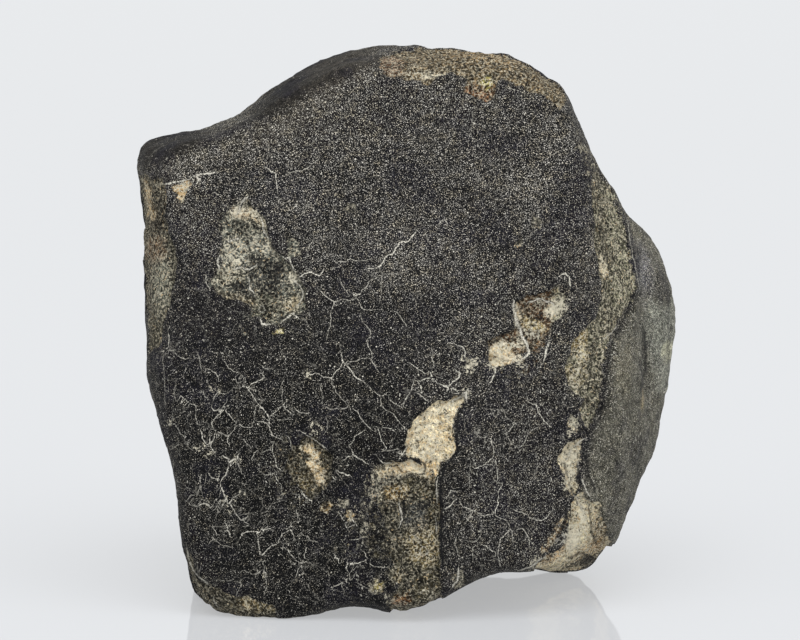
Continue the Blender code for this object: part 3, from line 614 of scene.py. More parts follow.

# Contraction cracks and broken rims over the front, and black lines of painted shadow under steps:
# strength, half width in mm, and turning points in mm right and up. A strength below zero is a black line.
CRACKS_AND_STEP_SHADOWS = (
    # high on the front
    (1.0, HAIR, ((-13.5, 16.8), (-12.8, 16.4), (-12.4, 16.3), (-12.5, 15.7), (-12.3, 15.1),
        (-12.3, 14.5))),
    (0.6, HAIR, ((-11.0, 16.4), (-10.0, 16.5), (-9.3, 16.7), (-8.8, 17.2), (-8.2, 17.7))),
    (0.6, HAIR, ((-9.8, 12.2), (-9.3, 12.9))),
    (0.6, HAIR, ((-9.1, 8.8), (-8.8, 9.3))),
    (0.6, HAIR, ((4.0, 11.2), (4.3, 11.6), (4.6, 11.4), (4.7, 10.9))),
    (0.5, HAIR, ((2.5, 10.2), (2.8, 9.6))),
    # across the middle
    (1.0, 0.08, ((1.5, 10.3), (1.1, 9.8), (0.8, 9.3), (0.4, 9.4), (0.0, 9.3), (-0.2, 8.9), (-0.5, 8.6),
        (-0.7, 8.2), (-1.1, 8.0), (-1.4, 7.8), (-1.8, 7.2), (-2.0, 6.9))),
    (0.8, 0.08, ((-2.0, 6.9), (-2.3, 6.7), (-2.8, 6.6), (-3.1, 6.7))),
    (1.0, 0.08, ((-10.0, 5.8), (-9.5, 6.2), (-8.9, 6.3), (-8.5, 6.1), (-8.0, 6.0), (-7.8, 6.4))),
    (0.9, HAIR, ((-6.7, 6.7), (-6.4, 6.8))),
    (0.9, HAIR, ((-6.0, 7.4), (-5.4, 7.4), (-5.0, 7.6), (-4.6, 7.5), (-4.3, 7.4))),
    (0.4, HAIR, ((-4.3, 7.4), (-3.3, 7.5))),
    (0.6, HAIR, ((-2.1, 6.0), (-2.5, 5.7), (-2.9, 5.6), (-3.2, 5.1), (-3.5, 4.7))),
    (0.9, HAIR, ((-3.8, 4.5), (-4.0, 4.1), (-4.4, 4.2), (-4.7, 4.2))),
    (0.8, HAIR, ((-4.5, 4.2), (-4.3, 3.7), (-4.1, 3.2), (-3.8, 2.6), (-3.2, 2.6), (-2.7, 2.5))),
    (0.6, HAIR, ((-5.9, 5.4), (-5.7, 4.9), (-5.4, 4.4), (-5.2, 4.1))),
    (1.0, HAIR, ((-7.9, 4.4), (-7.5, 3.9), (-6.9, 3.5), (-6.4, 3.4))),
    (0.6, HAIR, ((-6.4, 3.4), (-5.8, 3.6), (-5.2, 3.5), (-4.5, 3.6))),
    (0.8, HAIR, ((-6.4, 3.4), (-6.7, 2.9), (-6.9, 2.3), (-6.9, 1.6), (-7.0, 0.9), (-7.2, 0.4),
        (-7.3, -0.1))),
    (0.5, HAIR, ((-3.9, 2.0), (-3.8, 1.4), (-3.3, 0.9), (-2.9, 0.4), (-3.0, -0.2))),
    (0.4, HAIR, ((-1.9, 6.3), (-1.9, 5.3), (-1.9, 4.3), (-2.0, 3.4))),
    (0.6, HAIR, ((-0.5, 2.4), (0.1, 1.9), (0.3, 1.5), (0.7, 0.9))),
    (0.5, HAIR, ((-1.5, 6.1), (-0.2, 6.2))),
    (0.4, HAIR, ((-9.5, 1.6), (-9.2, 1.0))),
    # left edge
    (0.6, HAIR, ((-23.9, -1.6), (-23.3, -1.5), (-22.9, -1.5), (-22.5, -1.8), (-22.0, -2.2), (-21.6, -2.4),
        (-21.2, -2.3))),
    (0.8, HAIR, ((-23.2, 0.4), (-23.2, -0.4), (-23.1, -1.4))),
    (0.4, HAIR, ((-23.8, -1.8), (-23.7, -3.0), (-23.6, -4.5), (-23.6, -6.0), (-23.5, -6.8))),
    (0.4, HAIR, ((-22.5, -5.2), (-22.6, -6.0), (-22.5, -6.5))),
    (0.6, HAIR, ((-20.2, -1.9), (-20.0, -2.6), (-19.9, -3.4))),
    (0.9, HAIR, ((-21.9, -6.1), (-21.4, -6.5), (-21.2, -6.8), (-20.8, -6.8), (-20.4, -7.1),
        (-20.3, -7.5))),
    (0.8, HAIR, ((-22.0, -6.6), (-21.7, -7.0))),
    (0.7, HAIR, ((-20.4, -7.6), (-20.4, -8.4), (-20.3, -9.0), (-20.0, -9.0))),
    (0.6, HAIR, ((-23.3, -9.0), (-22.9, -8.8), (-22.5, -9.0), (-22.2, -9.4), (-22.0, -9.9),
        (-21.6, -10.2), (-21.2, -10.5))),
    (0.6, HAIR, ((-22.8, -7.8), (-22.8, -8.3))),
    (0.5, HAIR, ((-22.8, -11.4), (-22.3, -11.1), (-22.2, -10.8))),
    (0.4, HAIR, ((-21.5, -10.7), (-21.2, -11.2), (-20.9, -11.4))),
    # the net below the middle, at the left
    (1.0, HAIR, ((-15.7, -5.1), (-15.3, -5.3), (-14.8, -5.9), (-14.4, -6.6), (-14.1, -6.9), (-13.8, -7.3),
        (-13.4, -7.8), (-13.1, -8.2))),
    (1.0, HAIR, ((-13.1, -8.2), (-12.7, -7.8), (-12.3, -7.6), (-12.0, -7.2), (-11.5, -6.8))),
    (0.9, HAIR, ((-13.1, -8.4), (-13.1, -9.0), (-12.9, -9.6), (-12.7, -10.2), (-12.5, -10.1),
        (-12.0, -10.4))),
    (0.7, HAIR, ((-14.0, -8.6), (-13.5, -8.7), (-13.1, -9.0))),
    (0.9, HAIR, ((-15.3, -5.2), (-14.9, -4.8), (-14.2, -4.6), (-13.7, -4.3), (-13.7, -3.8))),
    (0.7, HAIR, ((-17.6, -2.7), (-17.2, -3.2), (-16.6, -3.6), (-16.0, -3.8), (-15.5, -4.3),
        (-15.4, -4.6))),
    (0.8, HAIR, ((-19.3, -3.3), (-18.7, -3.6), (-18.4, -3.9), (-18.2, -4.2))),
    (0.6, HAIR, ((-13.9, -3.0), (-13.4, -3.3), (-12.9, -3.3))),
    (0.6, HAIR, ((-14.2, -6.8), (-14.4, -7.2), (-14.5, -7.7), (-14.5, -8.3), (-14.7, -8.8))),
    (0.8, HAIR, ((-14.9, -9.2), (-15.6, -9.2), (-16.0, -8.9), (-16.4, -8.8), (-16.8, -8.3), (-17.1, -7.9),
        (-17.6, -7.4))),
    (0.9, HAIR, ((-17.6, -7.4), (-17.9, -7.7), (-18.3, -8.0), (-18.9, -8.6))),
    (0.8, HAIR, ((-18.9, -8.9), (-18.6, -9.4), (-18.2, -9.7), (-17.8, -9.8), (-17.3, -10.2),
        (-17.2, -10.9))),
    (0.8, HAIR, ((-16.4, -8.9), (-16.5, -9.4), (-16.9, -9.8), (-17.3, -10.2))),
    (0.7, HAIR, ((-18.6, -6.2), (-18.2, -5.6), (-17.6, -5.8))),
    (0.4, HAIR, ((-17.2, -6.4), (-17.5, -6.9), (-17.9, -7.4))),
    (0.7, HAIR, ((-18.8, -7.3), (-18.6, -7.6), (-18.2, -7.5))),
    (0.9, HAIR, ((-19.7, -5.8), (-19.5, -6.1))),
    (0.6, HAIR, ((-16.4, -4.3), (-16.3, -4.9), (-15.9, -4.7))),
    (0.6, HAIR, ((-11.8, -4.7), (-11.9, -5.1), (-11.7, -5.6), (-11.8, -6.1))),
    (0.8, HAIR, ((-11.7, -7.0), (-11.4, -7.4), (-10.9, -7.8))),
    (0.4, HAIR, ((-12.3, -8.3), (-11.8, -8.5), (-11.1, -8.4))),
    (1.0, 0.07, ((-19.8, -9.8), (-19.8, -10.3), (-19.6, -10.6), (-19.4, -10.9), (-19.0, -11.0),
        (-18.8, -11.3), (-18.6, -11.7))),
    (0.8, HAIR, ((-18.5, -9.8), (-18.6, -10.4), (-19.0, -10.8))),
    (0.8, HAIR, ((-15.5, -10.6), (-15.3, -10.9), (-15.0, -11.1))),
    (0.7, HAIR, ((-14.7, -12.2), (-14.6, -11.8), (-14.3, -11.6))),
    (0.4, HAIR, ((-13.8, -11.7), (-13.3, -11.5), (-12.9, -11.4))),
    (1.0, 0.09, ((-17.5, -12.2), (-17.0, -12.4), (-16.6, -12.5), (-16.3, -12.3), (-16.2, -12.0))),
    (0.8, HAIR, ((-16.4, -12.6), (-16.1, -12.9))),
    (1.0, HAIR, ((-17.0, -12.6), (-17.2, -13.0), (-17.3, -13.6), (-17.5, -14.1), (-17.9, -14.5))),
    (0.5, HAIR, ((-16.2, -13.1), (-15.9, -13.6), (-15.7, -13.9))),
    (0.9, HAIR, ((-12.8, -11.0), (-12.8, -11.5), (-12.5, -12.2), (-12.4, -12.8), (-12.3, -13.3),
        (-12.0, -13.4))),
    (0.9, HAIR, ((-13.9, -13.6), (-13.5, -13.9), (-13.0, -13.9), (-12.6, -13.7), (-12.4, -13.9),
        (-12.2, -14.5), (-12.0, -14.8))),
    (0.5, HAIR, ((-11.9, -15.0), (-11.8, -15.6), (-11.6, -16.0), (-11.9, -16.3))),
    (0.7, HAIR, ((-10.9, -11.1), (-10.9, -10.5), (-11.2, -10.1))),
    # low on the left
    (1.0, 0.07, ((-19.0, -14.0), (-18.8, -14.3), (-18.3, -14.4), (-18.1, -14.7), (-17.9, -15.2),
        (-17.6, -15.6), (-17.6, -16.1), (-17.4, -16.4), (-17.1, -16.8), (-16.8, -17.2))),
    (0.8, 0.07, ((-18.3, -17.0), (-17.6, -16.9), (-17.2, -16.9))),
    (0.4, HAIR, ((-18.5, -16.5), (-18.0, -16.2))),
    (0.5, HAIR, ((-17.0, -16.4), (-16.4, -16.1), (-15.9, -15.8))),
    (1.0, 0.09, ((-20.0, -17.0), (-19.5, -16.8), (-19.2, -17.0))),
    (0.6, HAIR, ((-20.1, -14.2), (-19.9, -14.8), (-20.1, -15.2), (-19.9, -15.8))),
    (0.6, HAIR, ((-21.2, -16.4), (-21.0, -16.0), (-20.4, -15.9))),
    (0.6, HAIR, ((-21.3, -16.7), (-21.0, -17.0), (-20.4, -17.1))),
    (0.8, HAIR, ((-16.8, -17.2), (-16.4, -17.8), (-16.1, -18.4), (-15.8, -18.7), (-15.5, -18.5),
        (-15.1, -18.9), (-15.0, -19.4))),
    (0.6, HAIR, ((-15.0, -17.6), (-15.2, -17.8), (-15.3, -18.4))),
    (0.7, HAIR, ((-18.3, -17.7), (-18.2, -17.4))),
    (0.9, HAIR, ((-18.7, -19.3), (-18.4, -19.8))),
    (1.0, 0.08, ((-17.3, -19.0), (-17.2, -19.5), (-17.0, -20.0))),
    (0.5, HAIR, ((-19.1, -20.8), (-18.9, -20.5), (-18.5, -20.4), (-18.0, -20.9), (-17.5, -21.1),
        (-17.1, -21.1))),
    (1.0, HAIR, ((-16.0, -20.1), (-15.8, -19.7), (-15.4, -19.6), (-15.0, -19.6), (-14.5, -19.7),
        (-14.2, -20.1), (-14.2, -20.7), (-14.1, -21.5))),
    (0.7, HAIR, ((-14.1, -21.5), (-14.0, -22.1), (-13.7, -22.8), (-13.5, -23.4), (-13.4, -24.0))),
    (0.6, HAIR, ((-13.4, -24.4), (-13.3, -25.2), (-13.6, -25.8))),
    (1.0, HAIR, ((-14.1, -19.7), (-13.6, -19.5), (-13.1, -19.3), (-12.9, -19.3))),
    (0.8, HAIR, ((-13.8, -22.0), (-13.4, -21.6), (-13.0, -21.1), (-12.6, -21.0), (-12.1, -20.8),
        (-12.0, -20.2), (-11.8, -19.8), (-11.2, -19.7))),
    (0.7, HAIR, ((-11.6, -21.2), (-11.2, -21.5), (-10.8, -22.0), (-10.4, -22.5), (-10.0, -22.9),
        (-9.6, -22.7), (-9.2, -22.5), (-8.9, -22.9))),
    (0.6, HAIR, ((-10.0, -22.9), (-10.2, -23.6), (-10.5, -24.2))),
    (0.7, HAIR, ((-9.5, -22.5), (-9.5, -21.9), (-9.4, -21.4))),
    (0.6, HAIR, ((-9.7, -19.9), (-9.1, -20.3), (-9.0, -20.6), (-8.4, -20.6))),
    (0.6, HAIR, ((-15.6, -23.7), (-15.0, -23.7), (-14.6, -24.0), (-14.0, -23.7))),
    (0.5, HAIR, ((-15.7, -24.3), (-15.8, -24.9), (-16.1, -25.3), (-16.4, -26.0))),
    (0.5, HAIR, ((-18.8, -24.3), (-18.2, -24.5), (-17.4, -24.7), (-16.8, -24.5), (-16.1, -24.8))),
    (0.4, HAIR, ((-13.5, -17.6), (-13.2, -17.6), (-12.9, -17.0), (-12.4, -16.7), (-11.9, -16.6))),
    (0.4, HAIR, ((-13.4, -17.8), (-13.4, -18.4), (-13.2, -19.0))),
    (0.7, HAIR, ((-11.0, -19.2), (-10.8, -19.8), (-10.6, -20.3))),
    (0.9, HAIR, ((-10.8, -18.9), (-10.7, -19.3))),
    (0.9, HAIR, ((-10.3, -17.8), (-10.2, -18.2))),
    # low in the middle, under the oval chip
    (0.9, HAIR, ((-6.0, -17.9), (-5.6, -18.6), (-5.2, -19.4))),
    (0.9, HAIR, ((-4.9, -18.2), (-4.5, -18.8))),
    (1.0, 0.08, ((-5.2, -22.7), (-5.4, -23.2))),
    (0.9, HAIR, ((-4.8, -22.7), (-4.1, -22.8), (-3.6, -22.5), (-3.3, -22.4), (-3.4, -21.9),
        (-3.5, -21.6))),
    (0.7, HAIR, ((-3.3, -22.5), (-2.9, -22.9), (-2.3, -23.1), (-1.5, -23.2))),
    (0.6, HAIR, ((-4.5, -23.3), (-4.3, -24.1))),
    (0.6, HAIR, ((-5.2, -23.6), (-5.0, -24.4))),
    (0.8, HAIR, ((-6.6, -25.2), (-6.0, -24.8), (-5.3, -24.5), (-4.8, -24.4))),
    (0.6, HAIR, ((-5.8, -24.9), (-5.6, -25.7))),
    (0.5, HAIR, ((-4.5, -24.6), (-3.8, -25.1), (-3.2, -25.3))),
    (0.8, HAIR, ((-4.5, -20.4), (-4.1, -20.3))),
    (0.5, HAIR, ((-3.9, -20.6), (-3.4, -21.1))),
    (1.0, 0.07, ((-6.4, -22.2), (-6.2, -22.5))),
    # between the oval chip and the tan chip
    (1.0, 0.07, ((-5.9, -2.0), (-5.8, -2.6), (-5.5, -2.8), (-5.1, -3.2), (-4.9, -3.5), (-4.5, -4.1),
        (-4.2, -4.3), (-3.7, -4.5))),
    (0.6, HAIR, ((-3.7, -4.5), (-3.2, -5.0), (-2.8, -5.4))),
    (0.9, HAIR, ((-2.3, -5.8), (-1.8, -6.1), (-1.5, -5.9))),
    (0.6, HAIR, ((-1.8, -6.2), (-2.0, -6.6), (-1.7, -7.1), (-1.2, -7.5))),
    (0.9, HAIR, ((-5.8, -2.8), (-6.1, -3.3), (-6.5, -3.8), (-6.8, -4.3), (-7.3, -4.2), (-7.8, -4.1),
        (-8.2, -3.8), (-8.7, -3.9), (-9.1, -3.9))),
    (0.6, HAIR, ((-5.0, -2.6), (-4.5, -2.6), (-4.0, -2.4), (-3.4, -2.3))),
    (0.8, HAIR, ((-3.0, -0.1), (-3.3, -0.4), (-3.2, -1.0), (-2.9, -1.5), (-2.8, -2.1), (-2.9, -2.4),
        (-2.6, -2.9), (-2.2, -3.5))),
    (0.6, HAIR, ((-6.8, -4.3), (-6.8, -4.9), (-6.4, -5.6), (-6.0, -6.1), (-5.5, -6.7))),
    (0.6, HAIR, ((-8.0, -5.2), (-7.8, -5.9), (-7.7, -6.6))),
    (0.9, HAIR, ((-4.6, -7.4), (-4.3, -7.6), (-4.1, -8.1), (-3.7, -8.6), (-3.3, -9.0), (-2.9, -9.4))),
    (0.8, HAIR, ((-3.7, -9.5), (-4.1, -9.8), (-4.5, -10.1), (-4.7, -10.6), (-5.0, -10.9))),
    (0.9, HAIR, ((-4.8, -11.4), (-4.6, -11.9), (-4.3, -12.2))),
    (0.8, HAIR, ((-4.6, -12.0), (-5.1, -12.1), (-5.6, -12.5))),
    (0.9, HAIR, ((-4.4, -12.1), (-4.0, -12.3), (-3.6, -12.6), (-3.3, -12.9))),
    (1.0, HAIR, ((-2.3, -9.3), (-2.0, -9.8), (-1.9, -10.3), (-1.7, -10.8), (-1.4, -11.2))),
    (0.7, HAIR, ((-2.2, -9.3), (-1.6, -9.2), (-0.9, -9.3), (-0.6, -9.6))),
    (0.8, HAIR, ((-0.6, -7.9), (-0.2, -8.5), (0.2, -9.0), (0.5, -9.3))),
    (0.7, HAIR, ((-1.0, -6.4), (-0.5, -6.8), (0.1, -7.2))),
    (0.8, HAIR, ((0.3, -6.9), (0.6, -6.3), (0.8, -6.0), (1.2, -5.3), (1.4, -4.7))),
    (0.9, HAIR, ((1.1, -2.9), (1.6, -3.2), (2.1, -3.5), (2.5, -3.9), (3.0, -3.6), (3.2, -4.1),
        (2.7, -4.4), (2.0, -4.6))),
    (0.9, HAIR, ((1.8, -4.7), (2.1, -5.2), (2.2, -5.6))),
    (0.8, HAIR, ((1.8, -5.8), (2.2, -6.1), (2.7, -6.5))),
    (0.6, HAIR, ((3.2, -1.5), (3.2, -2.3), (3.4, -3.0))),
    (0.9, HAIR, ((3.4, -4.3), (3.7, -4.7))),
    (0.7, HAIR, ((-10.4, -7.5), (-9.9, -7.7), (-9.3, -7.8))),
    (0.6, HAIR, ((-5.0, -7.2), (-5.9, -7.4), (-6.3, -7.3), (-6.9, -7.4), (-7.6, -7.0))),
    (0.5, HAIR, ((-7.3, -8.5), (-7.2, -9.3), (-7.5, -9.7))),
    (1.0, 0.08, ((-6.0, -13.6), (-5.6, -13.8), (-5.2, -14.0))),
    (0.9, HAIR, ((-6.7, -14.1), (-6.5, -14.4))),
    (1.0, 0.07, ((-1.9, -12.5), (-1.5, -12.8), (-1.0, -12.8))),
    (0.6, HAIR, ((-1.7, -11.5), (-1.0, -11.5), (-0.3, -11.4))),
    # right of the tan chip
    (0.9, HAIR, ((4.9, -0.7), (5.4, -0.9), (6.1, -1.1), (6.4, -1.3), (6.5, -1.8), (6.5, -2.1))),
    (0.5, HAIR, ((7.6, -0.0), (8.2, -0.4), (8.6, -0.6))),
    (1.0, HAIR, ((12.8, -6.5), (13.0, -6.8), (13.7, -7.0), (13.8, -7.6), (14.0, -8.0), (14.4, -8.5),
        (15.0, -9.1))),
    (0.6, HAIR, ((12.4, -7.0), (12.2, -7.4))),
    (0.7, HAIR, ((11.8, -8.7), (11.4, -8.9), (11.0, -9.5), (10.5, -10.0))),
    (0.5, HAIR, ((10.5, -9.9), (10.8, -10.3), (11.1, -10.8), (11.4, -11.0), (11.9, -11.3), (12.3, -10.8),
        (12.7, -10.1), (13.1, -9.5), (13.7, -9.2))),
    (0.5, HAIR, ((10.3, -7.5), (10.7, -8.2), (10.9, -8.4))),
    (0.5, HAIR, ((9.2, -7.5), (9.5, -8.1))),
    (0.9, HAIR, ((9.1, -10.4), (9.3, -11.2), (9.4, -12.0), (9.2, -12.3), (8.8, -12.6), (8.4, -12.9),
        (7.9, -13.1), (7.5, -13.3))),
    (0.7, HAIR, ((9.4, -12.0), (9.6, -12.8), (9.7, -13.4), (9.8, -14.2), (9.7, -14.6))),
    (1.0, HAIR, ((10.1, -15.0), (9.9, -15.6), (9.8, -16.4), (9.8, -17.0), (9.5, -17.6), (9.3, -17.9))),
    (1.0, HAIR, ((6.0, -16.7), (6.3, -17.1), (6.8, -17.3), (7.3, -17.5))),
    (0.7, HAIR, ((7.7, -17.7), (8.3, -18.1), (8.7, -17.9), (9.3, -17.9))),
    (1.0, 0.07, ((4.5, -17.3), (4.9, -17.1), (5.3, -16.7), (5.6, -16.4))),
    (0.7, HAIR, ((4.7, -16.1), (5.0, -15.7), (5.1, -15.3))),
    (0.5, HAIR, ((5.1, -15.5), (5.7, -15.6))),
    (0.5, HAIR, ((6.7, -18.6), (6.9, -18.1), (7.2, -17.7))),
    (0.4, HAIR, ((7.0, -12.7), (7.0, -13.6), (6.9, -14.2), (6.9, -15.0))),
    (0.6, HAIR, ((9.5, -18.0), (10.0, -18.4), (10.5, -18.4), (10.8, -18.8), (11.0, -19.5))),
    (1.0, HAIR, ((11.0, -19.5), (10.6, -19.8), (10.2, -20.2), (10.0, -20.5))),
    (0.9, HAIR, ((10.0, -20.5), (9.9, -21.1), (9.8, -21.6), (9.4, -21.7), (8.9, -21.3), (8.4, -21.0))),
    (0.6, HAIR, ((9.8, -21.7), (9.8, -22.4), (10.0, -22.9))),
    (0.6, HAIR, ((11.1, -19.6), (11.3, -20.1), (11.3, -20.6))),
    (0.6, HAIR, ((11.5, -19.5), (12.0, -19.3), (12.4, -19.3), (12.7, -19.9), (12.9, -20.4),
        (13.0, -21.0))),
    (0.6, HAIR, ((11.3, -17.4), (11.8, -17.7), (12.3, -17.8), (12.8, -18.0), (13.0, -18.3))),
    (0.9, HAIR, ((13.0, -18.3), (13.6, -18.4), (14.2, -18.5), (14.7, -18.3), (15.0, -17.9))),
    (0.5, HAIR, ((5.6, -20.2), (5.5, -21.0), (5.8, -21.8), (6.1, -22.3))),
    (0.7, HAIR, ((7.3, -21.0), (7.3, -22.1))),
    (0.5, HAIR, ((7.1, -20.6), (7.6, -20.6), (8.0, -20.2), (8.1, -19.6))),
    (0.5, HAIR, ((13.5, -13.7), (13.8, -13.1))),
    # painted shadow: black lines under steps, with some dark crust at their edges, right of the tan chip
    # and the lower chip, along the groove and on the right side
    (-1.0, 0.07, ((6.9, -6.5), (5.8, -7.7), (5.7, -9.5), (5.7, -11.6), (4.5, -13.1), (4.0, -14.3),
        (4.1, -17.0), (4.1, -20.0), (4.2, -23.0))),
    (-0.9, 0.06, ((0.3, -12.2), (1.3, -12.3), (2.4, -12.7), (2.5, -13.5))),
    (-0.7, 0.06, ((23.7, 4.5), (23.0, 2.5), (22.1, 0.7), (21.2, -0.8), (20.9, -2.5), (20.8, -4.0),
        (20.5, -5.5), (20.1, -8.3), (18.8, -10.0))),
    (-0.6, 0.09, ((24.7, 0.5), (24.9, -1.6), (24.9, -3.5), (24.2, -5.5))),
    (-0.8, 0.08, ((18.9, -10.4), (18.6, -12.0), (18.9, -14.0), (19.6, -15.6))),
    (-0.9, 0.10, ((16.7, -17.5), (16.6, -18.5), (16.0, -19.7), (15.2, -21.0), (14.5, -22.1))),
    (-0.7, 0.08, ((19.0, -17.5), (19.2, -19.5), (19.8, -21.0))),
    (-0.7, 0.09, ((17.2, -22.4), (18.2, -21.9), (19.4, -22.5))),
    (-0.7, 0.07, ((16.5, -12.8), (16.8, -14.5), (17.3, -16.0))),
    (-0.7, 0.07, ((17.5, -11.6), (17.8, -13.2), (18.1, -14.6))),
    (-0.8, 0.07, ((-17.9, 11.4), (-17.9, 9.4), (-17.6, 8.2))),
    (-0.7, 0.06, ((8.6, -0.9), (9.2, -0.7), (10.0, -0.2), (11.4, 1.2))),
    # white frosted lines along broken edges: the grey chip, the shoulder, the upper right chip and below it
    (1.0, 0.10, ((-15.5, 13.8), (-16.0, 13.2), (-16.2, 12.4))),
    (1.0, 0.13, ((-17.8, 8.8), (-18.1, 8.0), (-18.3, 7.3), (-18.1, 6.7))),
    (1.0, 0.10, ((-17.8, 8.9), (-17.5, 9.3), (-17.0, 9.5), (-16.2, 9.7))),
    (0.9, 0.10, ((-16.5, 6.7), (-15.9, 6.8), (-15.0, 6.6), (-14.6, 6.9))),
    (0.9, 0.08, ((-15.2, 5.6), (-15.0, 4.7), (-14.7, 4.2))),
    (0.8, 0.07, ((-19.5, 5.8), (-19.4, 5.2), (-19.1, 4.8))),
    (0.9, 0.09, ((-12.0, 8.0), (-11.6, 7.7), (-11.1, 7.8), (-10.9, 7.3), (-10.6, 6.5))),
    (0.8, 0.09, ((-10.6, 5.4), (-10.0, 4.9), (-9.7, 4.3), (-9.8, 3.6), (-10.2, 3.0))),
    (0.9, 0.09, ((-13.9, 1.5), (-13.8, 1.1), (-13.0, 1.1))),
    (1.0, 0.09, ((-11.8, 1.4), (-11.2, 1.8), (-10.7, 2.2), (-10.2, 1.7))),
    (0.9, 0.10, ((-14.0, 11.8), (-13.7, 11.2), (-13.7, 10.4), (-13.2, 9.8))),
    (1.0, 0.11, ((-23.4, 15.2), (-22.4, 15.4), (-21.7, 15.5))),
    (0.9, 0.09, ((-21.0, 15.8), (-20.2, 16.1), (-19.4, 16.2), (-18.6, 16.3))),
    (0.9, 0.09, ((-20.4, 15.4), (-19.7, 15.9))),
    (1.0, 0.19, ((11.3, 3.2), (11.5, 1.9), (11.9, 0.8), (12.3, -0.2))),
    (1.0, 0.14, ((12.3, -0.2), (12.7, -0.9), (12.9, -1.7), (12.4, -2.2))),
    (0.9, 0.10, ((13.0, 3.3), (14.1, 3.7), (15.2, 3.2))),
    (0.8, 0.09, ((15.9, 5.9), (16.5, 6.2), (17.0, 5.7), (17.0, 5.0))),
    (0.9, 0.11, ((14.9, -0.7), (14.6, -1.6), (14.4, -2.3))),
    (0.9, 0.09, ((5.7, -3.6), (6.1, -3.9), (5.8, -4.3), (5.3, -4.6), (5.0, -5.0), (4.8, -5.4))),
    (0.9, 0.10, ((4.3, -5.0), (4.7, -5.1), (5.0, -4.9))),
    (0.8, 0.08, ((5.3, -5.3), (5.7, -5.6))),
    (1.0, 0.13, ((5.2, -6.6), (6.0, -6.2), (6.6, -5.6), (6.7, -6.6))),
    (1.0, 0.09, ((9.5, -3.5), (9.4, -4.0), (9.1, -4.6))),
    (1.0, 0.10, ((0.1, -12.1), (0.4, -11.6), (0.6, -11.3))),
    (0.9, 0.10, ((0.0, -17.0), (0.2, -17.8), (0.2, -18.6), (0.0, -19.0))),
    (1.0, 0.10, ((-9.6, -15.9), (-9.0, -16.5))),
    (0.7, 0.07, ((-9.7, -9.7), (-9.1, -10.1), (-8.4, -10.5), (-7.9, -10.9), (-7.5, -11.3))),
    # the right strip, the low right flake, the corner and the left foot
    (0.7, 0.08, ((20.6, -0.2), (21.2, 0.2), (21.7, 0.8))),
    (0.4, 0.06, ((23.0, 11.6), (23.2, 9.4), (23.8, 6.6), (24.2, 4.6))),
    (0.7, 0.10, ((16.6, -12.6), (17.3, -11.2), (18.4, -10.4))),
    (0.7, 0.09, ((18.3, -11.2), (17.9, -13.0), (18.4, -14.8), (19.0, -16.2))),
    (0.6, 0.09, ((16.6, -14.2), (17.0, -15.6), (17.7, -16.4), (18.2, -17.4))),
    (0.6, 0.08, ((14.4, -22.4), (14.8, -21.8), (15.2, -21.0), (15.8, -20.5), (16.3, -19.9), (16.6, -20.4),
        (16.0, -21.0))),
    (0.8, 0.10, ((11.9, -23.6), (13.4, -23.0), (14.4, -22.2))),
    (1.0, 0.12, ((5.8, -23.3), (5.8, -24.1), (5.7, -24.6), (5.4, -25.0))),
    (0.8, 0.09, ((3.7, -14.5), (3.7, -16.5))),
    (0.7, 0.08, ((3.6, -18.5), (3.7, -19.5), (3.9, -20.2))),
    (0.6, 0.10, ((-21.4, -21.3), (-21.2, -22.4), (-20.9, -23.4), (-20.2, -24.2), (-19.3, -24.9))),
    (0.5, 0.09, ((-18.7, -26.6), (-18.4, -27.1))),
)


def ring(across: float, up: float, radius: float) -> tuple:
    """Nine points round a circle on the front, the last on the first."""
    turns = (k * math.pi / 4 for k in range(9))
    return tuple((across + radius * math.cos(a), up + radius * math.sin(a)) for a in turns)


# Round chondrules that show as rings in the crust and in the bare rock.
CHONDRULES = (
    (-0.8, 0.06, ring(-7.3, -17.1, 0.27)),
    (-0.7, 0.06, ring(-5.0, -17.9, 0.22)),
    (0.5, 0.06, ring(2.4, -21.6, 0.5)),
    (0.4, 0.06, ring(1.2, -20.2, 0.35)),
    (0.4, 0.06, ring(-13.8, 2.6, 0.35)),
    (0.4, 0.06, ring(13.6, 0.2, 0.35)),
)

# Black slag left on the bare rock.
SLAG = (
    *ovals(
        ((-14.3, 7.6), (0.9, 0.5)), ((-12.5, 6.3), (0.9, 1.3)), ((-16.4, 5.0), (1.1, 0.6)),
        ((-13.4, 6.8), (0.5, 0.4)), ((-12.9, 4.8), (0.5, 0.5)), ((-14.0, 5.2), (0.4, 0.4)),
        ((4.6, -7.6), (0.3, 0.3)), ((4.4, -8.8), (0.3, 0.3)), ((1.8, -10.6), (0.35, 0.3)),
        ((0.4, -17.2), (0.25, 1.3)), ((2.4, -17.0), (0.8, 0.6), 30), ((19.0, -22.8), (1.1, 0.8)),
        ((24.8, -1.6), (0.3, 3.2), 4), ((14.0, 1.9), (0.6, 0.4)), ((10.6, 0.2), (0.5, 0.3)),
        ((18.0, -14.6), (0.4, 1.0), 10), ((17.0, -23.4), (1.0, 0.5), 20),
        ((16.2, -20.6), (0.25, 0.6), -35),
    ),
)
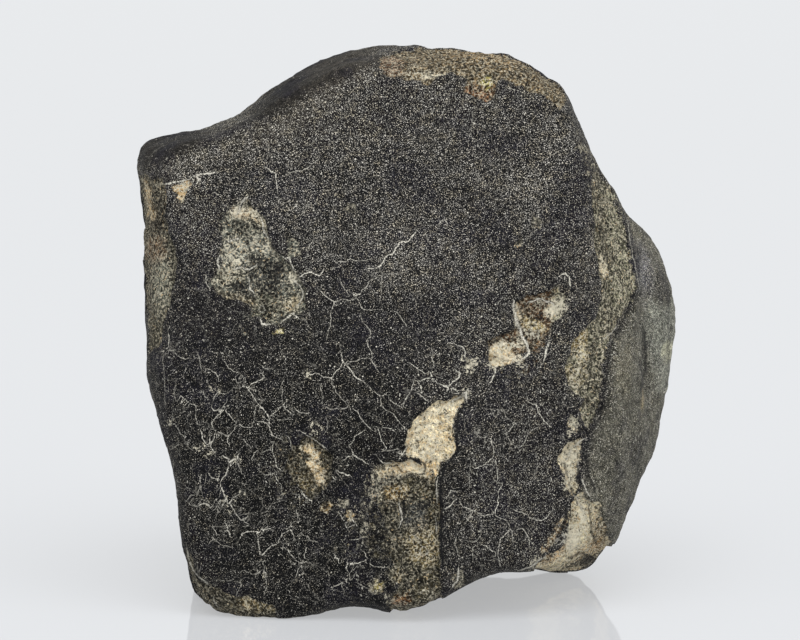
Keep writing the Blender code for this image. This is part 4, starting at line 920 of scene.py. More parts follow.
# White froth and frost on broken edges, and salt.
FROST = (
    # the upper right chip: its left foot, its far end and the froth between
    Edge(F, ((9.4, -1.0), (10.0, -0.5), (10.6, -0.3), (10.8, -1.0), (10.4, -1.8), (10.7, -2.4),
        (10.2, -2.8), (9.9, -3.2), (9.4, -3.4), (8.7, -3.1), (8.9, -2.7), (9.3, -2.0))),
    *ovals(
        ((15.7, 2.8), (1.2, 0.7), 35), ((11.6, -1.0), (0.5, 0.5)), ((11.9, -2.9), (0.5, 0.3), -30),
        # below it
        ((7.1, -2.5), (0.7, 0.35), -25), ((6.8, -3.2), (0.6, 0.4), 20), ((6.5, -6.0), (0.3, 0.6)),
        # the strip and under it
        ((18.2, -1.7), (0.3, 0.8), -8), ((17.9, -3.4), (0.3, 0.4)), ((17.2, -4.6), (0.25, 0.6)),
        ((17.5, -8.8), (0.6, 0.4), 30), ((17.1, -9.8), (0.25, 0.5)), ((17.2, -12.0), (0.6, 0.7)),
        ((18.4, -18.3), (0.5, 2.0)), ((17.3, -20.4), (0.9, 1.6), -10), ((17.0, -13.6), (0.5, 1.8), -10),
        ((15.2, -20.7), (0.2, 0.9), -35), ((13.4, -22.8), (0.3, 0.6), -35),
        # the top, the grey chip and the shoulder
        ((1.5, 26.3), (1.0, 0.12)), ((-10.7, 5.7), (0.6, 0.6)), ((2.0, -9.0), (0.3, 0.2), 40),
        ((-16.3, 12.4), (0.9, 0.55), 10), ((-15.8, 13.5), (0.3, 0.5), -25),
        ((-14.6, 12.3), (0.6, 0.35), -35), ((-17.2, 7.9), (0.5, 0.4)), ((-16.0, 7.4), (0.6, 0.3)),
        ((12.4, 0.5), (0.9, 0.3), -30), ((13.2, 0.1), (0.5, 0.35)), ((14.2, 3.4), (0.6, 0.2), 10),
        ((-21.8, 15.0), (0.5, 0.4)),
        # salt spots on the crust
        ((-18.0, -5.6), (0.2, 0.2)), ((-18.8, -5.3), (0.2, 0.2)), ((-19.6, -11.0), (0.3, 0.2)),
        ((-20.3, -11.5), (0.2, 0.15)), ((-19.2, -12.0), (0.2, 0.15)), ((-18.8, -11.9), (0.15, 0.2)),
        ((-17.4, -16.6), (0.35, 0.2)), ((-16.9, -17.5), (0.2, 0.15)), ((-19.4, -16.8), (0.2, 0.2)),
        ((-16.4, -12.4), (0.15, 0.3)), ((-13.5, -24.1), (0.2, 0.2)), ((-15.7, -15.9), (0.25, 0.2)),
        ((-8.6, -8.8), (0.3, 0.25)), ((-7.9, -9.3), (0.2, 0.25)), ((-8.4, -9.7), (0.35, 0.2)),
        ((-9.2, -3.9), (0.3, 0.25)), ((-3.5, -19.5), (0.2, 0.15)), ((2.4, -25.6), (0.3, 0.3)),
        ((3.2, -26.0), (0.3, 0.2)), ((-1.2, -26.0), (0.2, 0.15)), ((-22.9, -8.7), (0.25, 0.12), 20),
    ),
)

# Where the crust is worn to scraps: a level that is higher the more rock shows, then the oval on the front.
WORN = (
    (0.05, (-2.0, -15.0), (1.0, 2.2)), (-0.04, (-1.8, -17.5), (2.2, 4.5)),
    (-0.12, (-4.2, -19.5), (3.4, 3.6)), (-0.08, (-11.0, -13.5), (1.8, 3.8)),
    (0.1, (-0.3, -24.0), (1.2, 1.0)), (0.1, (-2.3, -25.1), (0.8, 0.8)), (0.1, (0.0, -26.5), (1.2, 0.8)),
    (-0.25, (13.0, 24.5), (3.8, 1.8)), (-0.05, (21.6, 16.0), (2.8, 4.2), 20),
    (-0.12, (-13.5, 1.2), (4.0, 1.2)), (-0.1, (12.8, -3.4), (2.4, 1.0)),
    (0.5, (-0.3, -24.0), (0.35, 0.35)), (0.5, (-2.3, -25.1), (0.3, 0.3)),
    (0.4, (-7.3, -17.1), (0.6, 0.6)), (0.4, (-5.0, -17.9), (0.5, 0.5)), (0.2, (-5.6, -16.8), (0.5, 0.5)),
    (0.3, (-12.0, 0.4), (0.5, 0.3)), (0.05, (-5.1, 12.8), (0.6, 0.5)), (0.2, (11.9, 9.2), (0.4, 0.3)),
    (0.08, (15.5, -20.0), (0.32, 2.2), -34), (0.05, (13.6, 11.2), (0.5, 0.4)),
    (0.2, (18.2, 18.8), (0.5, 0.3)),
)


@dataclass(frozen=True)
class Complexion:
    """The stone's colour, its crack and painted shadow lines, and how thick its painted glints lie and how
    crackled it is, worked out at each point.
    """

    crust: str = "171618"
    rock: str = "67645a"
    teeth: tuple = ((1.4, 0.30), (0.6, 0.22))
    worn_from_mm: float = -6.0   # worn places lie at least this far toward the front
    worn_slope: float = 0.7      # how fast they die out past their ovals
    slag_from_mm: float = -4.0   # the same start, for slag and frost
    sway_mm: float = 0.10        # how far the traced lines wander off their straight runs
    sway_size_mm: float = 0.8
    line_reach_mm: float = 0.25  # a line is at full strength up to here, then fades
    line_fade_mm: float = 0.3

    def tints(self, p: np.ndarray) -> dict[str, np.ndarray]:
        """The linear colour of crust and of bare rock at each point, each wash over those before it."""
        stray = layered(p, self.teeth)
        tints = {layer: np.tile(linear(shade), (len(p), 1))
                 for layer, shade in ((Layer.CRUST, self.crust), (Layer.ROCK, self.rock))}
        for wash in WASHES:
            share = wash.cover(p, stray)[:, None]
            tints[wash.layer] = tints[wash.layer] * (1 - share) + np.array(linear(wash.shade)) * share
        return {layer.value: tint for layer, tint in tints.items()}

    def painted_glint(self, p: np.ndarray) -> np.ndarray:
        """How thick the pale flecks of painted glint lie, from 0 to 1: thickest high up, thin on the left
        shoulder.
        """
        x, y, z = p.T
        upper = eased((z + 0.35 * x + 6) / 16)
        shoulder = eased((p @ toward(-63, 63) - 26.6) / 1.6)
        right = eased((p @ toward(68, -3) - 23.0) / 2.0)
        across = eased((x + 4) / 14)
        thick = 0.50 + 0.24 * upper + 0.15 * across * (1 - upper) + 0.10 * wander(p, 6.0)
        return np.clip(thick - 0.6 * shoulder - 0.1 * right, 0, 1)

    def crackle(self, p: np.ndarray) -> np.ndarray:
        """How strongly the crust is crackled, from 0 to 1: faintly in front, where cracks are traced."""
        x, y, z = p.T
        low = eased((-z - 0.25 * x + 8) / 14)
        side = eased((y + 8) / 6)
        return np.clip(0.05 + 0.17 * low + 0.45 * low * side + (0.15 + 0.10 * side) * wander(p, 7.0), 0, 1)

    def most_within(self, p: np.ndarray, shapes: tuple) -> np.ndarray:
        """How far in mm each point lies inside the nearest of some shapes, below zero outside them."""
        within = np.max([shape.within(p) for shape in shapes], axis=0)
        return np.clip(np.minimum(within, -p[:, 1] - self.slag_from_mm), -FIELD_MM, FIELD_MM)

    def worn(self, p: np.ndarray, bare: np.ndarray) -> np.ndarray:
        """The bare rock field with the worn places added, where crust is left only in scraps."""
        ahead = -p[:, 1] > self.worn_from_mm
        for level, *oval in WORN:
            near = np.minimum(self.worn_slope * Blob(Side.FRONT, *oval).within(p), level)
            bare = np.where(ahead, np.maximum(bare, near), bare)
        return bare

    def traced_lines(self, p: np.ndarray) -> tuple[np.ndarray, np.ndarray, np.ndarray]:
        """How far each point lies to the left of the nearest traced line in mm, a crack or a painted
        shadow line, and that line's strength and width.

        Formula: the distance to each straight run of each line, the least kept, its sign the side of
        that run. The strength fades to nothing past half a millimetre, so the jump between two lines'
        signs never shows. A strength below zero is a black line: painted shadow under a step, or a
        chondrule's dark rim.
        """
        h, v = Side.FRONT.square_on(p)
        h = h + self.sway_mm * wander(p, self.sway_size_mm)
        v = v + self.sway_mm * wander(p + 31.0, self.sway_size_mm)
        best, strong, wide = np.full(len(p), NO_LINE_MM), np.zeros(len(p)), np.full(len(p), HAIR)
        for strength, half, run in CRACKS_AND_STEP_SHADOWS + CHONDRULES:
            for (ah, av), (bh, bv) in zip(run, run[1:]):
                dh, dv = bh - ah, bv - av
                t = np.clip(((h - ah) * dh + (v - av) * dv) / (dh * dh + dv * dv), 0, 1)
                away = np.hypot(h - ah - t * dh, v - av - t * dv)
                signed = np.where(dh * (v - av) - dv * (h - ah) > 0, away, -away)
                nearer = away < np.abs(best)
                best, strong = np.where(nearer, signed, best), np.where(nearer, strength, strong)
                wide = np.where(nearer, half, wide)
        front = eased((6 - p[:, 1]) / 4)
        fade = eased((np.abs(best) - self.line_reach_mm) / self.line_fade_mm)
        return best, strong * front * (1 - fade), wide


# ------------------------------------------------------------------ finishes
@dataclass(frozen=True)
class FusionCrust:
    """Fusion crust: the millimetre skin that melted in the air and froze to matt black glassy slag.

    To the eye it is near black and dull, dusted with fine pale flecks that are painted glints off its
    grains, and crazed by pale hairline cracks.
    """

    # painted glints: the colours of the pale flecks that stand in for light glinting off the grains
    glint_grey: str = "e8e3d7"
    glint_yellow: str = "d9c698"
    violet: str = "17161f"
    grain_and_glint_mm: float = 0.092      # the grain is about 0.1 to 0.2 mm across
    mottle_mm: float = 0.2
    lump_mm: float = 0.7
    patch_mm: float = 4.5        # violet patches
    warm_mm: float = 0.9
    salt_mm: float = 0.3
    dot_mm: float = 0.7
    crack_mm: float = 2.7        # hairline cells are 2.5 to 3 mm across
    fine_crack_mm: float = 1.2
    crack_wide_mm: float = 0.045
    bend_mm: float = 1.1
    bent_by_mm: float = 1.2
    break_mm: float = 0.8

    def web(self, tree: bpy.types.NodeTree, bent: bpy.types.NodeSocket,
            cell_mm: float) -> bpy.types.NodeSocket:
        """The walls between cells of this size, 1 on a wall and 0 off it."""
        wall = add(tree, CELLS, {"Vector": bent, "Scale": 1 / (cell_mm * MM)}, feature="DISTANCE_TO_EDGE")
        half = self.crack_wide_mm / cell_mm
        return add(tree, RANGE, {"Value": wall.outputs["Distance"], "From Min": half,
                                 "From Max": half * 0.4}).outputs[0]

    def wire(self, tree: bpy.types.NodeTree, spot: bpy.types.NodeSocket) -> tuple:
        """Adds the crust's pattern.

        Args:
            tree: The node tree it joins.
            spot: Object coordinates.

        Returns:
            The sockets of its colour, its roughness, its height in mm and its web of cracks.
        """
        tint = add(tree, FROM_MESH, attribute_name="crust_tint").outputs["Color"]
        glint_density = add(tree, FROM_MESH, attribute_name="painted_glint").outputs["Fac"]
        crackled = add(tree, FROM_MESH, attribute_name="crackle").outputs["Fac"]

        patch = add(tree, NOISE, {"Vector": spot, "Scale": 1 / (self.patch_mm * MM), "Detail": 4.0,
                                  "Roughness": 0.6})
        violet = add(tree, RANGE, {"Value": patch.outputs[0], "From Min": 0.50, "From Max": 0.62,
                                   "To Max": 0.6})
        base = add(tree, MIX, {0: violet.outputs[0], 6: tint, 7: paint(self.violet)}, data_type="RGBA")

        lump = add(tree, NOISE, {"Vector": spot, "Scale": 1 / (self.lump_mm * MM), "Detail": 5.0,
                                 "Roughness": 0.75})
        shade = add(tree, RANGE, {"Value": lump.outputs[0], "From Min": 0.38, "From Max": 0.62,
                                  "To Min": 0.5, "To Max": 1.6})
        base = add(tree, VECTOR, {0: base.outputs[2], 3: shade.outputs[0]}, operation="SCALE")

        # the grain runs from black pits to pale crumbs; its pale flecks, painted glints off the grains, are
        # more where they lie thick and fewer on the violet patches
        grain = add(tree, NOISE, {"Vector": spot, "Scale": 1 / (self.grain_and_glint_mm * MM), "Detail": 1.0,
                                  "Roughness": 0.5})
        speckle = add(tree, RANGE, {"Value": grain.outputs[0], "From Min": 0.34, "From Max": 0.66,
                                    "To Min": 0.2, "To Max": 1.8})
        base = add(tree, VECTOR, {0: base.outputs[0], 3: speckle.outputs[0]}, operation="SCALE")
        mottle = add(tree, NOISE, {"Vector": spot, "Scale": 1 / (self.mottle_mm * MM), "Detail": 1.5})
        mottle = add(tree, RANGE, {"Value": mottle.outputs[0], "From Min": 0.36, "From Max": 0.64,
                                   "To Min": 0.5, "To Max": 1.5})
        base = add(tree, VECTOR, {0: base.outputs[0], 3: mottle.outputs[0]}, operation="SCALE")
        mixed = add(tree, MATH, {0: lump.outputs[0], 1: 0.12, 2: grain.outputs[0]},
                    operation="MULTIPLY_ADD")
        start = add(tree, MATH, {0: glint_density, 1: -0.22, 2: 0.781}, operation="MULTIPLY_ADD")
        start = add(tree, MATH, {0: violet.outputs[0], 1: 0.03, 2: start.outputs[0]},
                    operation="MULTIPLY_ADD")
        full = add(tree, MATH, {0: start.outputs[0], 1: 0.135}, operation="ADD")
        painted_glint = add(tree, RANGE, {"Value": mixed.outputs[0], "From Min": start.outputs[0],
                                  "From Max": full.outputs[0]})
        painted_glint = add(tree, MATH, {0: painted_glint.outputs[0], 1: 1.5}, operation="POWER")
        warm = add(tree, NOISE, {"Vector": spot, "Scale": 1 / (self.warm_mm * MM), "Detail": 5.0,
                                 "Roughness": 0.75})
        warm = add(tree, RANGE, {"Value": warm.outputs[0], "From Min": 0.45, "From Max": 0.62,
                                 "To Max": 0.5})
        glint_shade = add(tree, MIX, {0: warm.outputs[0], 6: paint(self.glint_grey),
                                      7: paint(self.glint_yellow)}, data_type="RGBA")
        colour = add(tree, MIX, {0: painted_glint.outputs[0], 6: base.outputs[0], 7: glint_shade.outputs[2]},
                     data_type="RGBA")

        # hairline cells: two sizes of cell, bent by a finer noise and broken up
        bend = add(tree, NOISE, {"Vector": spot, "Scale": 1 / (self.bend_mm * MM), "Detail": 2.5,
                                 "Roughness": 0.6})
        bend = add(tree, VECTOR, {0: bend.outputs["Color"], 1: (0.5, 0.5, 0.5)},
                   operation="SUBTRACT")
        bent = add(tree, VECTOR, {0: bend.outputs[0], 1: (self.bent_by_mm * MM,) * 3, 2: spot},
                   operation="MULTIPLY_ADD")
        broken = add(tree, NOISE, {"Vector": spot, "Scale": 1 / (self.break_mm * MM), "Detail": 3.0,
                                   "Roughness": 0.7})
        whole = add(tree, RANGE, {"Value": broken.outputs[0], "From Min": 0.42, "From Max": 0.64})
        wide = add(tree, MATH, {0: self.web(tree, bent.outputs[0], self.crack_mm), 1: whole.outputs[0]},
                   operation="MULTIPLY")
        fine = add(tree, RANGE, {"Value": broken.outputs[0], "From Min": 0.52, "From Max": 0.40,
                                 "To Max": 0.3})
        fine = add(tree, MATH, {0: self.web(tree, bent.outputs[0], self.fine_crack_mm),
                                1: fine.outputs[0]}, operation="MULTIPLY")
        cracks = add(tree, MATH, {0: wide.outputs[0], 1: fine.outputs[0]}, operation="MAXIMUM")
        cracks = add(tree, MATH, {0: cracks.outputs[0], 1: crackled}, operation="MULTIPLY")

        # white specks of salt
        dots = add(tree, CELLS, {"Vector": spot, "Scale": 1 / (self.dot_mm * MM)})
        dot = add(tree, RANGE, {"Value": dots.outputs["Distance"], "From Min": 0.13, "From Max": 0.08})
        pick = add(tree, "ShaderNodeSeparateColor", {0: dots.outputs["Color"]})
        pick = add(tree, RANGE, {"Value": pick.outputs[0], "From Min": 0.74, "From Max": 0.90})
        dot = add(tree, MATH, {0: dot.outputs[0], 1: pick.outputs[0]}, operation="MULTIPLY")
        marks = add(tree, MATH, {0: cracks.outputs[0], 1: dot.outputs[0]}, operation="MAXIMUM")
        salt = add(tree, NOISE, {"Vector": spot, "Scale": 1 / (self.salt_mm * MM), "Detail": 1.0})
        salt = add(tree, RANGE, {"Value": salt.outputs[0], "From Min": 0.715, "From Max": 0.76})
        salted = add(tree, RANGE, {"Value": crackled, "From Max": 0.3, "To Max": 0.8})
        salt = add(tree, MATH, {0: salt.outputs[0], 1: salted.outputs[0]}, operation="MULTIPLY")
        marks = add(tree, MATH, {0: marks.outputs[0], 1: salt.outputs[0]}, operation="MAXIMUM")

        height = add(tree, MATH, {0: grain.outputs[0], 1: 0.12, 2: 0.0}, operation="MULTIPLY_ADD")
        height = add(tree, MATH, {0: lump.outputs[0], 1: 0.30, 2: height.outputs[0]},
                     operation="MULTIPLY_ADD")
        rough = add(tree, RANGE, {"Value": grain.outputs[0], "From Min": 0.3, "From Max": 0.7,
                                  "To Min": 0.6, "To Max": 0.8})
        return colour.outputs[2], rough.outputs[0], height.outputs[0], marks.outputs[0]


@dataclass(frozen=True)
class BareRock:
    """The meteorite's inside where crust has broken away: a fine dull matrix set with small round grains.

    To the eye it is grey to tan, very grainy and quite matt, with black pits between paler crumbs.
    """

    pale: str = "e8dfc6"
    ochre: str = "c8a878"
    dark: str = "0c0c0c"
    grain_mm: float = 0.40  # grains of 0.3 to 0.5 mm
    crumb_mm: float = 0.18
    blotch_mm: float = 0.45
    thread_mm: float = 0.38
    rust_mm: float = 0.6
    pit_mm: float = 0.30

    def wire(self, tree: bpy.types.NodeTree, spot: bpy.types.NodeSocket) -> tuple:
        """Adds the bare rock's pattern, as FusionCrust.wire does, and gives its first three sockets."""
        tint = add(tree, FROM_MESH, attribute_name="rock_tint").outputs["Color"]
        grey = add(tree, "ShaderNodeRGBToBW", {0: tint}).outputs[0]
        grains = add(tree, CELLS, {"Vector": spot, "Scale": 1 / (self.grain_mm * MM)})
        own = add(tree, "ShaderNodeSeparateColor", {0: grains.outputs["Color"]})
        shade = add(tree, RANGE, {"Value": own.outputs[0], "To Min": 0.62, "To Max": 1.5})
        base = add(tree, VECTOR, {0: tint, 3: shade.outputs[0]}, operation="SCALE")
        blotch = add(tree, NOISE, {"Vector": spot, "Scale": 1 / (self.blotch_mm * MM), "Detail": 4.0,
                                   "Roughness": 0.7})
        wash = add(tree, RANGE, {"Value": blotch.outputs[0], "From Min": 0.36, "From Max": 0.66,
                                 "To Min": 0.05, "To Max": 2.0})
        base = add(tree, VECTOR, {0: base.outputs[0], 3: wash.outputs[0]}, operation="SCALE")

        # curved pale threads, where a noise passes through its middle value
        thread = add(tree, NOISE, {"Vector": spot, "Scale": 1 / (self.thread_mm * MM), "Detail": 1.0,
                                   "Roughness": 0.5})
        thread = add(tree, MATH, {0: thread.outputs[0], 1: -0.5}, operation="ADD")
        thread = add(tree, MATH, {0: thread.outputs[0]}, operation="ABSOLUTE")
        clear = add(tree, MATH, {0: grey, 1: 3.0, 2: 0.18}, operation="MULTIPLY_ADD")
        clear = add(tree, MATH, {0: clear.outputs[0], 1: 0.75}, operation="MINIMUM")
        thread = add(tree, RANGE, {"Value": thread.outputs[0], "From Min": 0.075, "From Max": 0.02,
                                   "To Max": clear.outputs[0]})
        base = add(tree, MIX, {0: thread.outputs[0], 6: base.outputs[0], 7: paint(self.pale)},
                   data_type="RGBA")

        # pale crumbs, and black pits that are rarer the paler the rock is
        crumbs = add(tree, NOISE, {"Vector": spot, "Scale": 1 / (self.crumb_mm * MM), "Detail": 1.0,
                                   "Roughness": 0.5})
        start = add(tree, MATH, {0: grey, 1: -0.30, 2: 0.648}, operation="MULTIPLY_ADD")
        full = add(tree, MATH, {0: start.outputs[0], 1: 0.07}, operation="ADD")
        light = add(tree, RANGE, {"Value": crumbs.outputs[0], "From Min": start.outputs[0],
                                  "From Max": full.outputs[0], "To Max": 0.9})
        rusty = add(tree, NOISE, {"Vector": spot, "Scale": 1 / (self.rust_mm * MM), "Detail": 2.0,
                                  "Roughness": 0.6})
        rusty = add(tree, RANGE, {"Value": rusty.outputs[0], "From Min": 0.46, "From Max": 0.60,
                                  "To Max": 0.85})
        crumb = add(tree, MIX, {0: rusty.outputs[0], 6: paint(self.pale), 7: paint(self.ochre)},
                    data_type="RGBA")
        colour = add(tree, MIX, {0: light.outputs[0], 6: base.outputs[2], 7: crumb.outputs[2]},
                     data_type="RGBA")
        pits = add(tree, NOISE, {"Vector": spot, "Scale": 1 / (self.pit_mm * MM), "Detail": 2.0,
                                 "Roughness": 0.65})
        start = add(tree, MATH, {0: grey, 1: -0.27, 2: 0.52}, operation="MULTIPLY_ADD")
        full = add(tree, MATH, {0: start.outputs[0], 1: -0.05}, operation="ADD")
        pit = add(tree, RANGE, {"Value": pits.outputs[0], "From Min": start.outputs[0],
                                "From Max": full.outputs[0], "To Max": 0.78})
        colour = add(tree, MIX, {0: pit.outputs[0], 6: colour.outputs[2], 7: paint(self.dark)},
                     data_type="RGBA")
        height = add(tree, MATH, {0: grains.outputs["Distance"], 1: -0.16, 2: 0.0},
                     operation="MULTIPLY_ADD")
        height = add(tree, MATH, {0: blotch.outputs[0], 1: 0.45, 2: height.outputs[0]},
                     operation="MULTIPLY_ADD")
        height = add(tree, MATH, {0: pit.outputs[0], 1: -0.08, 2: height.outputs[0]},
                     operation="MULTIPLY_ADD")
        rough = add(tree, RANGE, {"Value": own.outputs[1], "To Min": 0.82, "To Max": 0.95})
        return colour.outputs[2], rough.outputs[0], height.outputs[0]


@dataclass(frozen=True)
class MeteoriteSkin:
    """The whole stone's material: crust and bare rock, with slag, frost, pale cracks and painted shadow
    lines on both.
    """

    crust: FusionCrust = FusionCrust()
    rock: BareRock = BareRock()
    # slag is also the colour of the dark borders and of the painted shadow lines under steps
    slag: str = "161618"
    frost: str = "ece4cc"
    crack: str = "e4dfd0"
    fray_mm: float = 0.25        # how far a broken edge frays
    fray_size_mm: float = 0.55
    froth_mm: float = 0.26
    jitter_mm: float = 0.28
    uneven_mm: float = 0.15

    def past(self, tree: bpy.types.NodeTree, field: str, fray: bpy.types.NodeSocket,
             soft: float) -> bpy.types.NodeSocket:
        """1 where a field written on the mesh, frayed, is above zero mm, else 0, over a soft edge in mm."""
        value = add(tree, FROM_MESH, attribute_name=field).outputs["Fac"]
        value = add(tree, MATH, {0: value, 1: fray}, operation="ADD")
        return add(tree, RANGE, {"Value": value.outputs[0], "From Min": -soft,
                                 "From Max": soft}).outputs[0]

    def traced_lines(self, tree: bpy.types.NodeTree, spot: bpy.types.NodeSocket) -> tuple:
        """The pale traced cracks, 1 on a line and 0 off it, jittered and uneven, and a dark border by every
        line: partly dark edge, partly painted shadow.
        """
        line_offset, line_strength, wide = (add(tree, FROM_MESH, attribute_name=name).outputs["Fac"]
                              for name in ("line_offset", "line_strength", "line_half_width"))
        jitter = add(tree, NOISE, {"Vector": spot, "Scale": 1 / (self.jitter_mm * MM), "Detail": 3.0,
                                   "Roughness": 0.65})
        jitter = add(tree, MATH, {0: jitter.outputs[0], 1: 0.32, 2: -0.16}, operation="MULTIPLY_ADD")
        line = add(tree, MATH, {0: line_offset, 1: jitter.outputs[0]}, operation="ADD")
        line = add(tree, MATH, {0: line.outputs[0]}, operation="ABSOLUTE")
        core = add(tree, MATH, {0: wide, 1: 0.45}, operation="MULTIPLY")
        rim = add(tree, MATH, {0: wide, 1: 2.4}, operation="MULTIPLY")
        # the dark border beside each traced line: partly the crack's own dark edge, partly painted shadow
        # in its gap
        border = add(tree, RANGE, {"Value": line.outputs[0], "From Min": rim.outputs[0],
                                   "From Max": wide})
        drawn = add(tree, MATH, {0: line_strength}, operation="ABSOLUTE")
        border = add(tree, MATH, {0: border.outputs[0], 1: drawn.outputs[0]}, operation="MULTIPLY")
        # painted shadow: the border is darker beside the black lines under steps than beside the pale
        # cracks
        dark = add(tree, RANGE, {"Value": line_strength, "From Min": 0.1, "From Max": -0.1, "To Min": 0.5,
                                 "To Max": 0.9})
        border = add(tree, MATH, {0: border.outputs[0], 1: dark.outputs[0]}, operation="MULTIPLY")
        pale = add(tree, MATH, {0: line_strength, 1: 0.0}, operation="MAXIMUM")
        line = add(tree, RANGE, {"Value": line.outputs[0], "From Min": wide, "From Max": core.outputs[0]})
        line = add(tree, MATH, {0: line.outputs[0], 1: pale.outputs[0]}, operation="MULTIPLY")
        uneven = add(tree, NOISE, {"Vector": spot, "Scale": 1 / (self.uneven_mm * MM), "Detail": 1.0})
        uneven = add(tree, RANGE, {"Value": uneven.outputs[0], "From Min": 0.38, "From Max": 0.52,
                                   "To Min": 0.18})
        line = add(tree, MATH, {0: line.outputs[0], 1: uneven.outputs[0]}, operation="MULTIPLY")
        return line.outputs[0], border.outputs[0]

    def material(self) -> bpy.types.Material:
        """Makes the material."""
        made = bpy.data.materials.new("carbonaceous chondrite, fusion crust over bare matrix")
        made.use_nodes = True
        tree = made.node_tree
        tree.nodes.clear()
        spot = add(tree, "ShaderNodeTexCoord").outputs["Object"]
        crust, rock = self.crust.wire(tree, spot), self.rock.wire(tree, spot)
        fray = add(tree, NOISE, {"Vector": spot, "Scale": 1 / (self.fray_size_mm * MM), "Detail": 4.0,
                                 "Roughness": 0.7})
        fray = add(tree, MATH, {0: fray.outputs[0], 1: 4 * self.fray_mm, 2: -2 * self.fray_mm},
                   operation="MULTIPLY_ADD").outputs[0]
        froth = add(tree, NOISE, {"Vector": spot, "Scale": 1 / (self.froth_mm * MM), "Detail": 3.0,
                                  "Roughness": 0.7})
        froth = add(tree, MATH, {0: froth.outputs[0], 1: 3.4, 2: -1.85},
                    operation="MULTIPLY_ADD").outputs[0]
        bare = self.past(tree, "bare", fray, 0.05)
        slagged = self.past(tree, "slag", froth, 0.10)
        frosted = self.past(tree, "frost", froth, 0.08)
        traced_lines, dark_rims_and_shadows = self.traced_lines(tree, spot)

        colour = add(tree, MIX, {0: crust[3], 6: crust[0], 7: paint(self.crack)}, data_type="RGBA")
        colour = add(tree, MIX, {0: bare, 6: colour.outputs[2], 7: rock[0]}, data_type="RGBA")
        slag = add(tree, MIX, {0: 0.8, 6: colour.outputs[2], 7: paint(self.slag)}, data_type="RGBA")
        colour = add(tree, MIX, {0: slagged, 6: colour.outputs[2], 7: slag.outputs[2]}, data_type="RGBA")
        frost = add(tree, MIX, {0: 0.75, 6: colour.outputs[2], 7: paint(self.frost)}, data_type="RGBA")
        colour = add(tree, MIX, {0: frosted, 6: colour.outputs[2], 7: frost.outputs[2]}, data_type="RGBA")
        # the dark borders and the black lines under steps, partly painted shadow, in the slag colour
        colour = add(tree, MIX, {0: dark_rims_and_shadows, 6: colour.outputs[2], 7: paint(self.slag)}, data_type="RGBA")
        colour = add(tree, MIX, {0: traced_lines, 6: colour.outputs[2], 7: paint(self.crack)}, data_type="RGBA")
        rough = add(tree, MIX, {0: bare, 2: crust[1], 3: rock[1]}, data_type="FLOAT")
        height = add(tree, MIX, {0: bare, 2: crust[2], 3: rock[2]}, data_type="FLOAT")
        height = add(tree, MATH, {0: frosted, 1: 0.06, 2: height.outputs[0]}, operation="MULTIPLY_ADD")
        bump = add(tree, "ShaderNodeBump", {"Height": height.outputs[0], "Distance": MM, "Strength": 1.0})
        shader = add(tree, "ShaderNodeBsdfPrincipled", {
            "Base Color": colour.outputs[2], "Roughness": rough.outputs[0], "Normal": bump.outputs[0],
            "IOR": 1.5, "Specular IOR Level": 0.12})
        add(tree, "ShaderNodeOutputMaterial", {0: shader.outputs[0]})
        return made


# ------------------------------------------------------------------ pieces
@dataclass(frozen=True)
class Meteorite:
    """The stone itself: a fine closed mesh of its form, coloured and dressed, for the plain solid."""

    form: StoneForm = StoneForm()
    complexion: Complexion = Complexion()
    skin: MeteoriteSkin = MeteoriteSkin()
    grid: int = 128

    def directions(self) -> tuple[np.ndarray, np.ndarray]:
        """Six grids of directions round the stone, one for each side of a cube, joined at their borders.

        Formula: on each side of the cube the two parameters run evenly over a quarter turn, their
        tangents place the point on the side, and its length is made one. Points that two sides share are
        kept once.

        Returns:
            The directions, and the four corners of every square, outward.
        """
        n = self.grid
        i, j = np.meshgrid(np.arange(n + 1), np.arange(n + 1), indexing="ij")
        sides, squares = [], []
        for axis, end in itertools.product(range(3), (0, n)):
            lattice = np.empty((n + 1, n + 1, 3), int)
            lattice[..., axis], lattice[..., (axis + 1) % 3], lattice[..., (axis + 2) % 3] = end, i, j
            at = np.arange((n + 1) ** 2).reshape(n + 1, n + 1) + len(sides) * (n + 1) ** 2
            corners = [at[:-1, :-1], at[1:, :-1], at[1:, 1:], at[:-1, 1:]]
            squares.append(np.stack(corners if end else corners[::-1], axis=-1).reshape(-1, 4))
            sides.append(lattice.reshape(-1, 3))
        lattice = np.concatenate(sides)
        _, first, shared = np.unique(lattice @ np.array([1, n + 1, (n + 1) ** 2]), return_index=True,
                                     return_inverse=True)
        u = np.tan((lattice[first] / n - 0.5) * math.pi / 2)
        return u / np.linalg.norm(u, axis=1)[:, None], shared.reshape(-1)[np.concatenate(squares)]

    def build(self) -> bpy.types.Object:
        """Builds the mesh and writes its colours, crack and painted shadow line fields on it as point
        attributes.
        """
        u, squares = self.directions()
        p, bare = self.form.surface(u)
        look = self.complexion
        mesh = bpy.data.meshes.new("stone")
        mesh.from_pydata(self.form.stood_up(p).tolist(), [], squares.tolist())
        mesh.validate()
        mesh.shade_smooth()
        line_offset, line_strength, wide = look.traced_lines(p)
        values = {"bare": look.worn(p, bare), "slag": look.most_within(p, SLAG),
                  "frost": look.most_within(p, FROST), "painted_glint": look.painted_glint(p), "crackle": look.crackle(p),
                  "line_offset": line_offset, "line_strength": line_strength, "line_half_width": wide}
        for name, value in values.items():
            mesh.attributes.new(name, "FLOAT", "POINT").data.foreach_set("value", value.astype(np.float32))
        for name, tint in look.tints(p).items():
            cover = np.concatenate([tint, np.ones((len(p), 1))], axis=1).astype(np.float32)
            field = mesh.attributes.new(f"{name}_tint", "FLOAT_COLOR", "POINT")
            field.data.foreach_set("color", cover.ravel())
        made = bpy.data.objects.new("meteorite_stone", mesh)
        bpy.context.scene.collection.objects.link(made)
        LOG.info("%s: %d points, %d squares", made.name, len(p), len(squares))
        return made

    def dress(self, made: bpy.types.Object) -> None:
        """Gives the mesh its material and its place in the record.

        Args:
            made: The object that build returned.
        """
        made.data.materials.append(self.skin.material())
        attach(made, "root")
        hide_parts("meteorite")


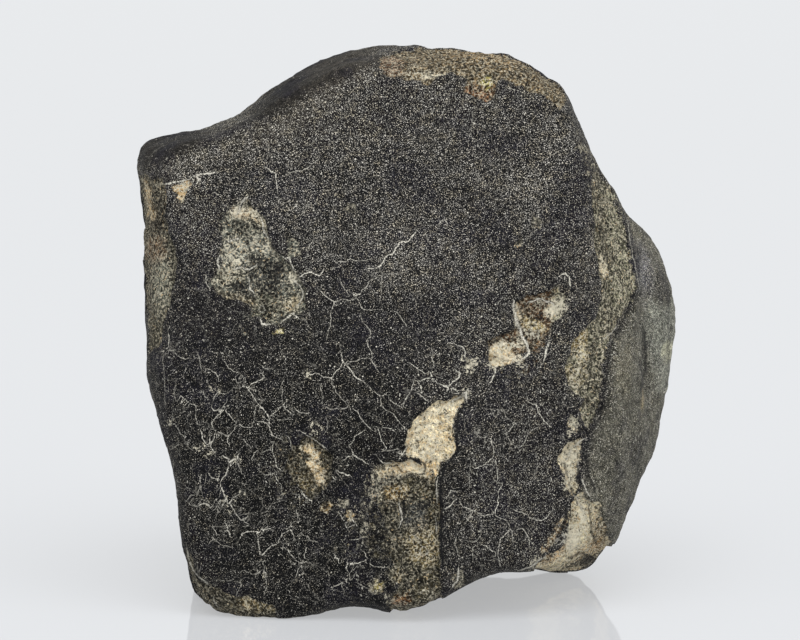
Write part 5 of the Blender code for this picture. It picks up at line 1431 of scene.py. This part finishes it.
# ------------------------------------------------------------------ studio
@dataclass(frozen=True)
class Shelf:
    """The pale glossy shelf the stone stands on. It isn't part of the object."""

    radius: float = 3.0
    corners: int = 96
    below: float = 2e-5
    shade: str = "84868a"
    glow: float = 0.44

    def build(self) -> bpy.types.Object:
        """Builds the shelf as one flat round disc just under the stone."""
        turn = np.linspace(0, 2 * math.pi, self.corners, endpoint=False)
        level = np.full(self.corners, -self.below)
        rim = np.stack([self.radius * np.cos(turn), self.radius * np.sin(turn), level], axis=1)
        mesh = bpy.data.meshes.new("shelf")
        mesh.from_pydata(rim.tolist(), [], [list(range(self.corners))])
        made = bpy.data.objects.new("shelf", mesh)
        bpy.context.scene.collection.objects.link(made)
        LOG.info("%s: %.1f m across", made.name, 2 * self.radius)
        return made

    def dress(self, made: bpy.types.Object) -> None:
        """Gives the shelf polished white acrylic, lit from below: even white with a faint mirror image."""
        material = bpy.data.materials.new("polished white acrylic, lit from below")
        material.use_nodes = True
        shader = material.node_tree.nodes["Principled BSDF"]
        shader.inputs["Base Color"].default_value = paint(self.shade)
        shader.inputs["Roughness"].default_value = 0.05
        shader.inputs["IOR"].default_value = 1.2
        shader.inputs["Emission Color"].default_value = paint("f6f7f8")
        shader.inputs["Emission Strength"].default_value = self.glow
        made.data.materials.append(material)


@dataclass(frozen=True)
class Studio:
    """Soft white studio light and the camera."""

    sky: float = 0.78
    key: float = 3.3
    side: float = 1.7
    aim_height: float = 0.027

    def light(self, name: str, bearing: float, tilt: float, far: float, wide: float, watts: float) -> None:
        """Adds one square soft light aimed at the stone.

        Args:
            name: Its name.
            bearing: Degrees round the stone, 0 in front and 90 at the right.
            tilt: Degrees up.
            far: Distance in metres.
            wide: Width in metres.
            watts: Its power.
        """
        lamp = bpy.data.lights.new(name, "AREA")
        lamp.size, lamp.energy = wide, watts
        made = bpy.data.objects.new(name, lamp)
        aim = Vector(toward(bearing, tilt))
        made.location = Vector((0, 0, self.aim_height)) + aim * far
        made.rotation_euler = aim.to_track_quat("Z", "Y").to_euler()
        bpy.context.scene.collection.objects.link(made)

    def build(self) -> None:
        """Sets the even white surroundings and the soft lights."""
        scene = bpy.context.scene
        scene.view_settings.view_transform = "Standard"
        world = bpy.data.worlds.new("white tent")
        world.use_nodes = True
        back = world.node_tree.nodes["Background"]
        back.inputs["Color"].default_value = paint("f4f6f7")
        back.inputs["Strength"].default_value = self.sky
        scene.world = world
        self.light("overhead softbox", 10, 68, 0.7, 0.6, self.key)
        self.light("right softbox", 62, 22, 0.8, 0.5, self.side)
        self.light("left softbox", -58, 30, 0.8, 0.5, 0.5 * self.side)
        LOG.info("studio: three softboxes in a white tent")


@dataclass(frozen=True)
class Eye:
    """The camera: a long lens a little above the stone, square on to its broad face."""

    form: StoneForm = StoneForm()
    distance: float = 0.865
    lens: float = 382.5
    rise: float = 0.00153

    def build(self) -> bpy.types.Object:
        """Places the camera on the drawing frame's own line of sight."""
        middle = Vector((-self.form.foot_middle[0], -self.form.foot_middle[1], self.form.foot_drop)) * MM
        back = Vector(toward(0, self.form.lean))
        up = Vector(toward(180, 90 - self.form.lean))
        lens = bpy.data.cameras.new("long lens")
        lens.lens, lens.clip_start, lens.clip_end = self.lens, 0.05, 20
        made = bpy.data.objects.new("camera", lens)
        made.location = middle + back * self.distance + up * self.rise
        made.rotation_euler = back.to_track_quat("Z", "Y").to_euler()
        bpy.context.scene.collection.objects.link(made)
        bpy.context.scene.camera = made
        return made


def main() -> None:
    """Builds and dresses the stone, then sets the studio round it."""
    logging.basicConfig(level=logging.INFO, format="%(name)s: %(message)s")
    stone = Meteorite()
    stone.dress(stone.build())
    shelf = Shelf()
    shelf.dress(shelf.build())
    Studio().build()
    Eye().build()


if __name__ == "__main__":
    main()
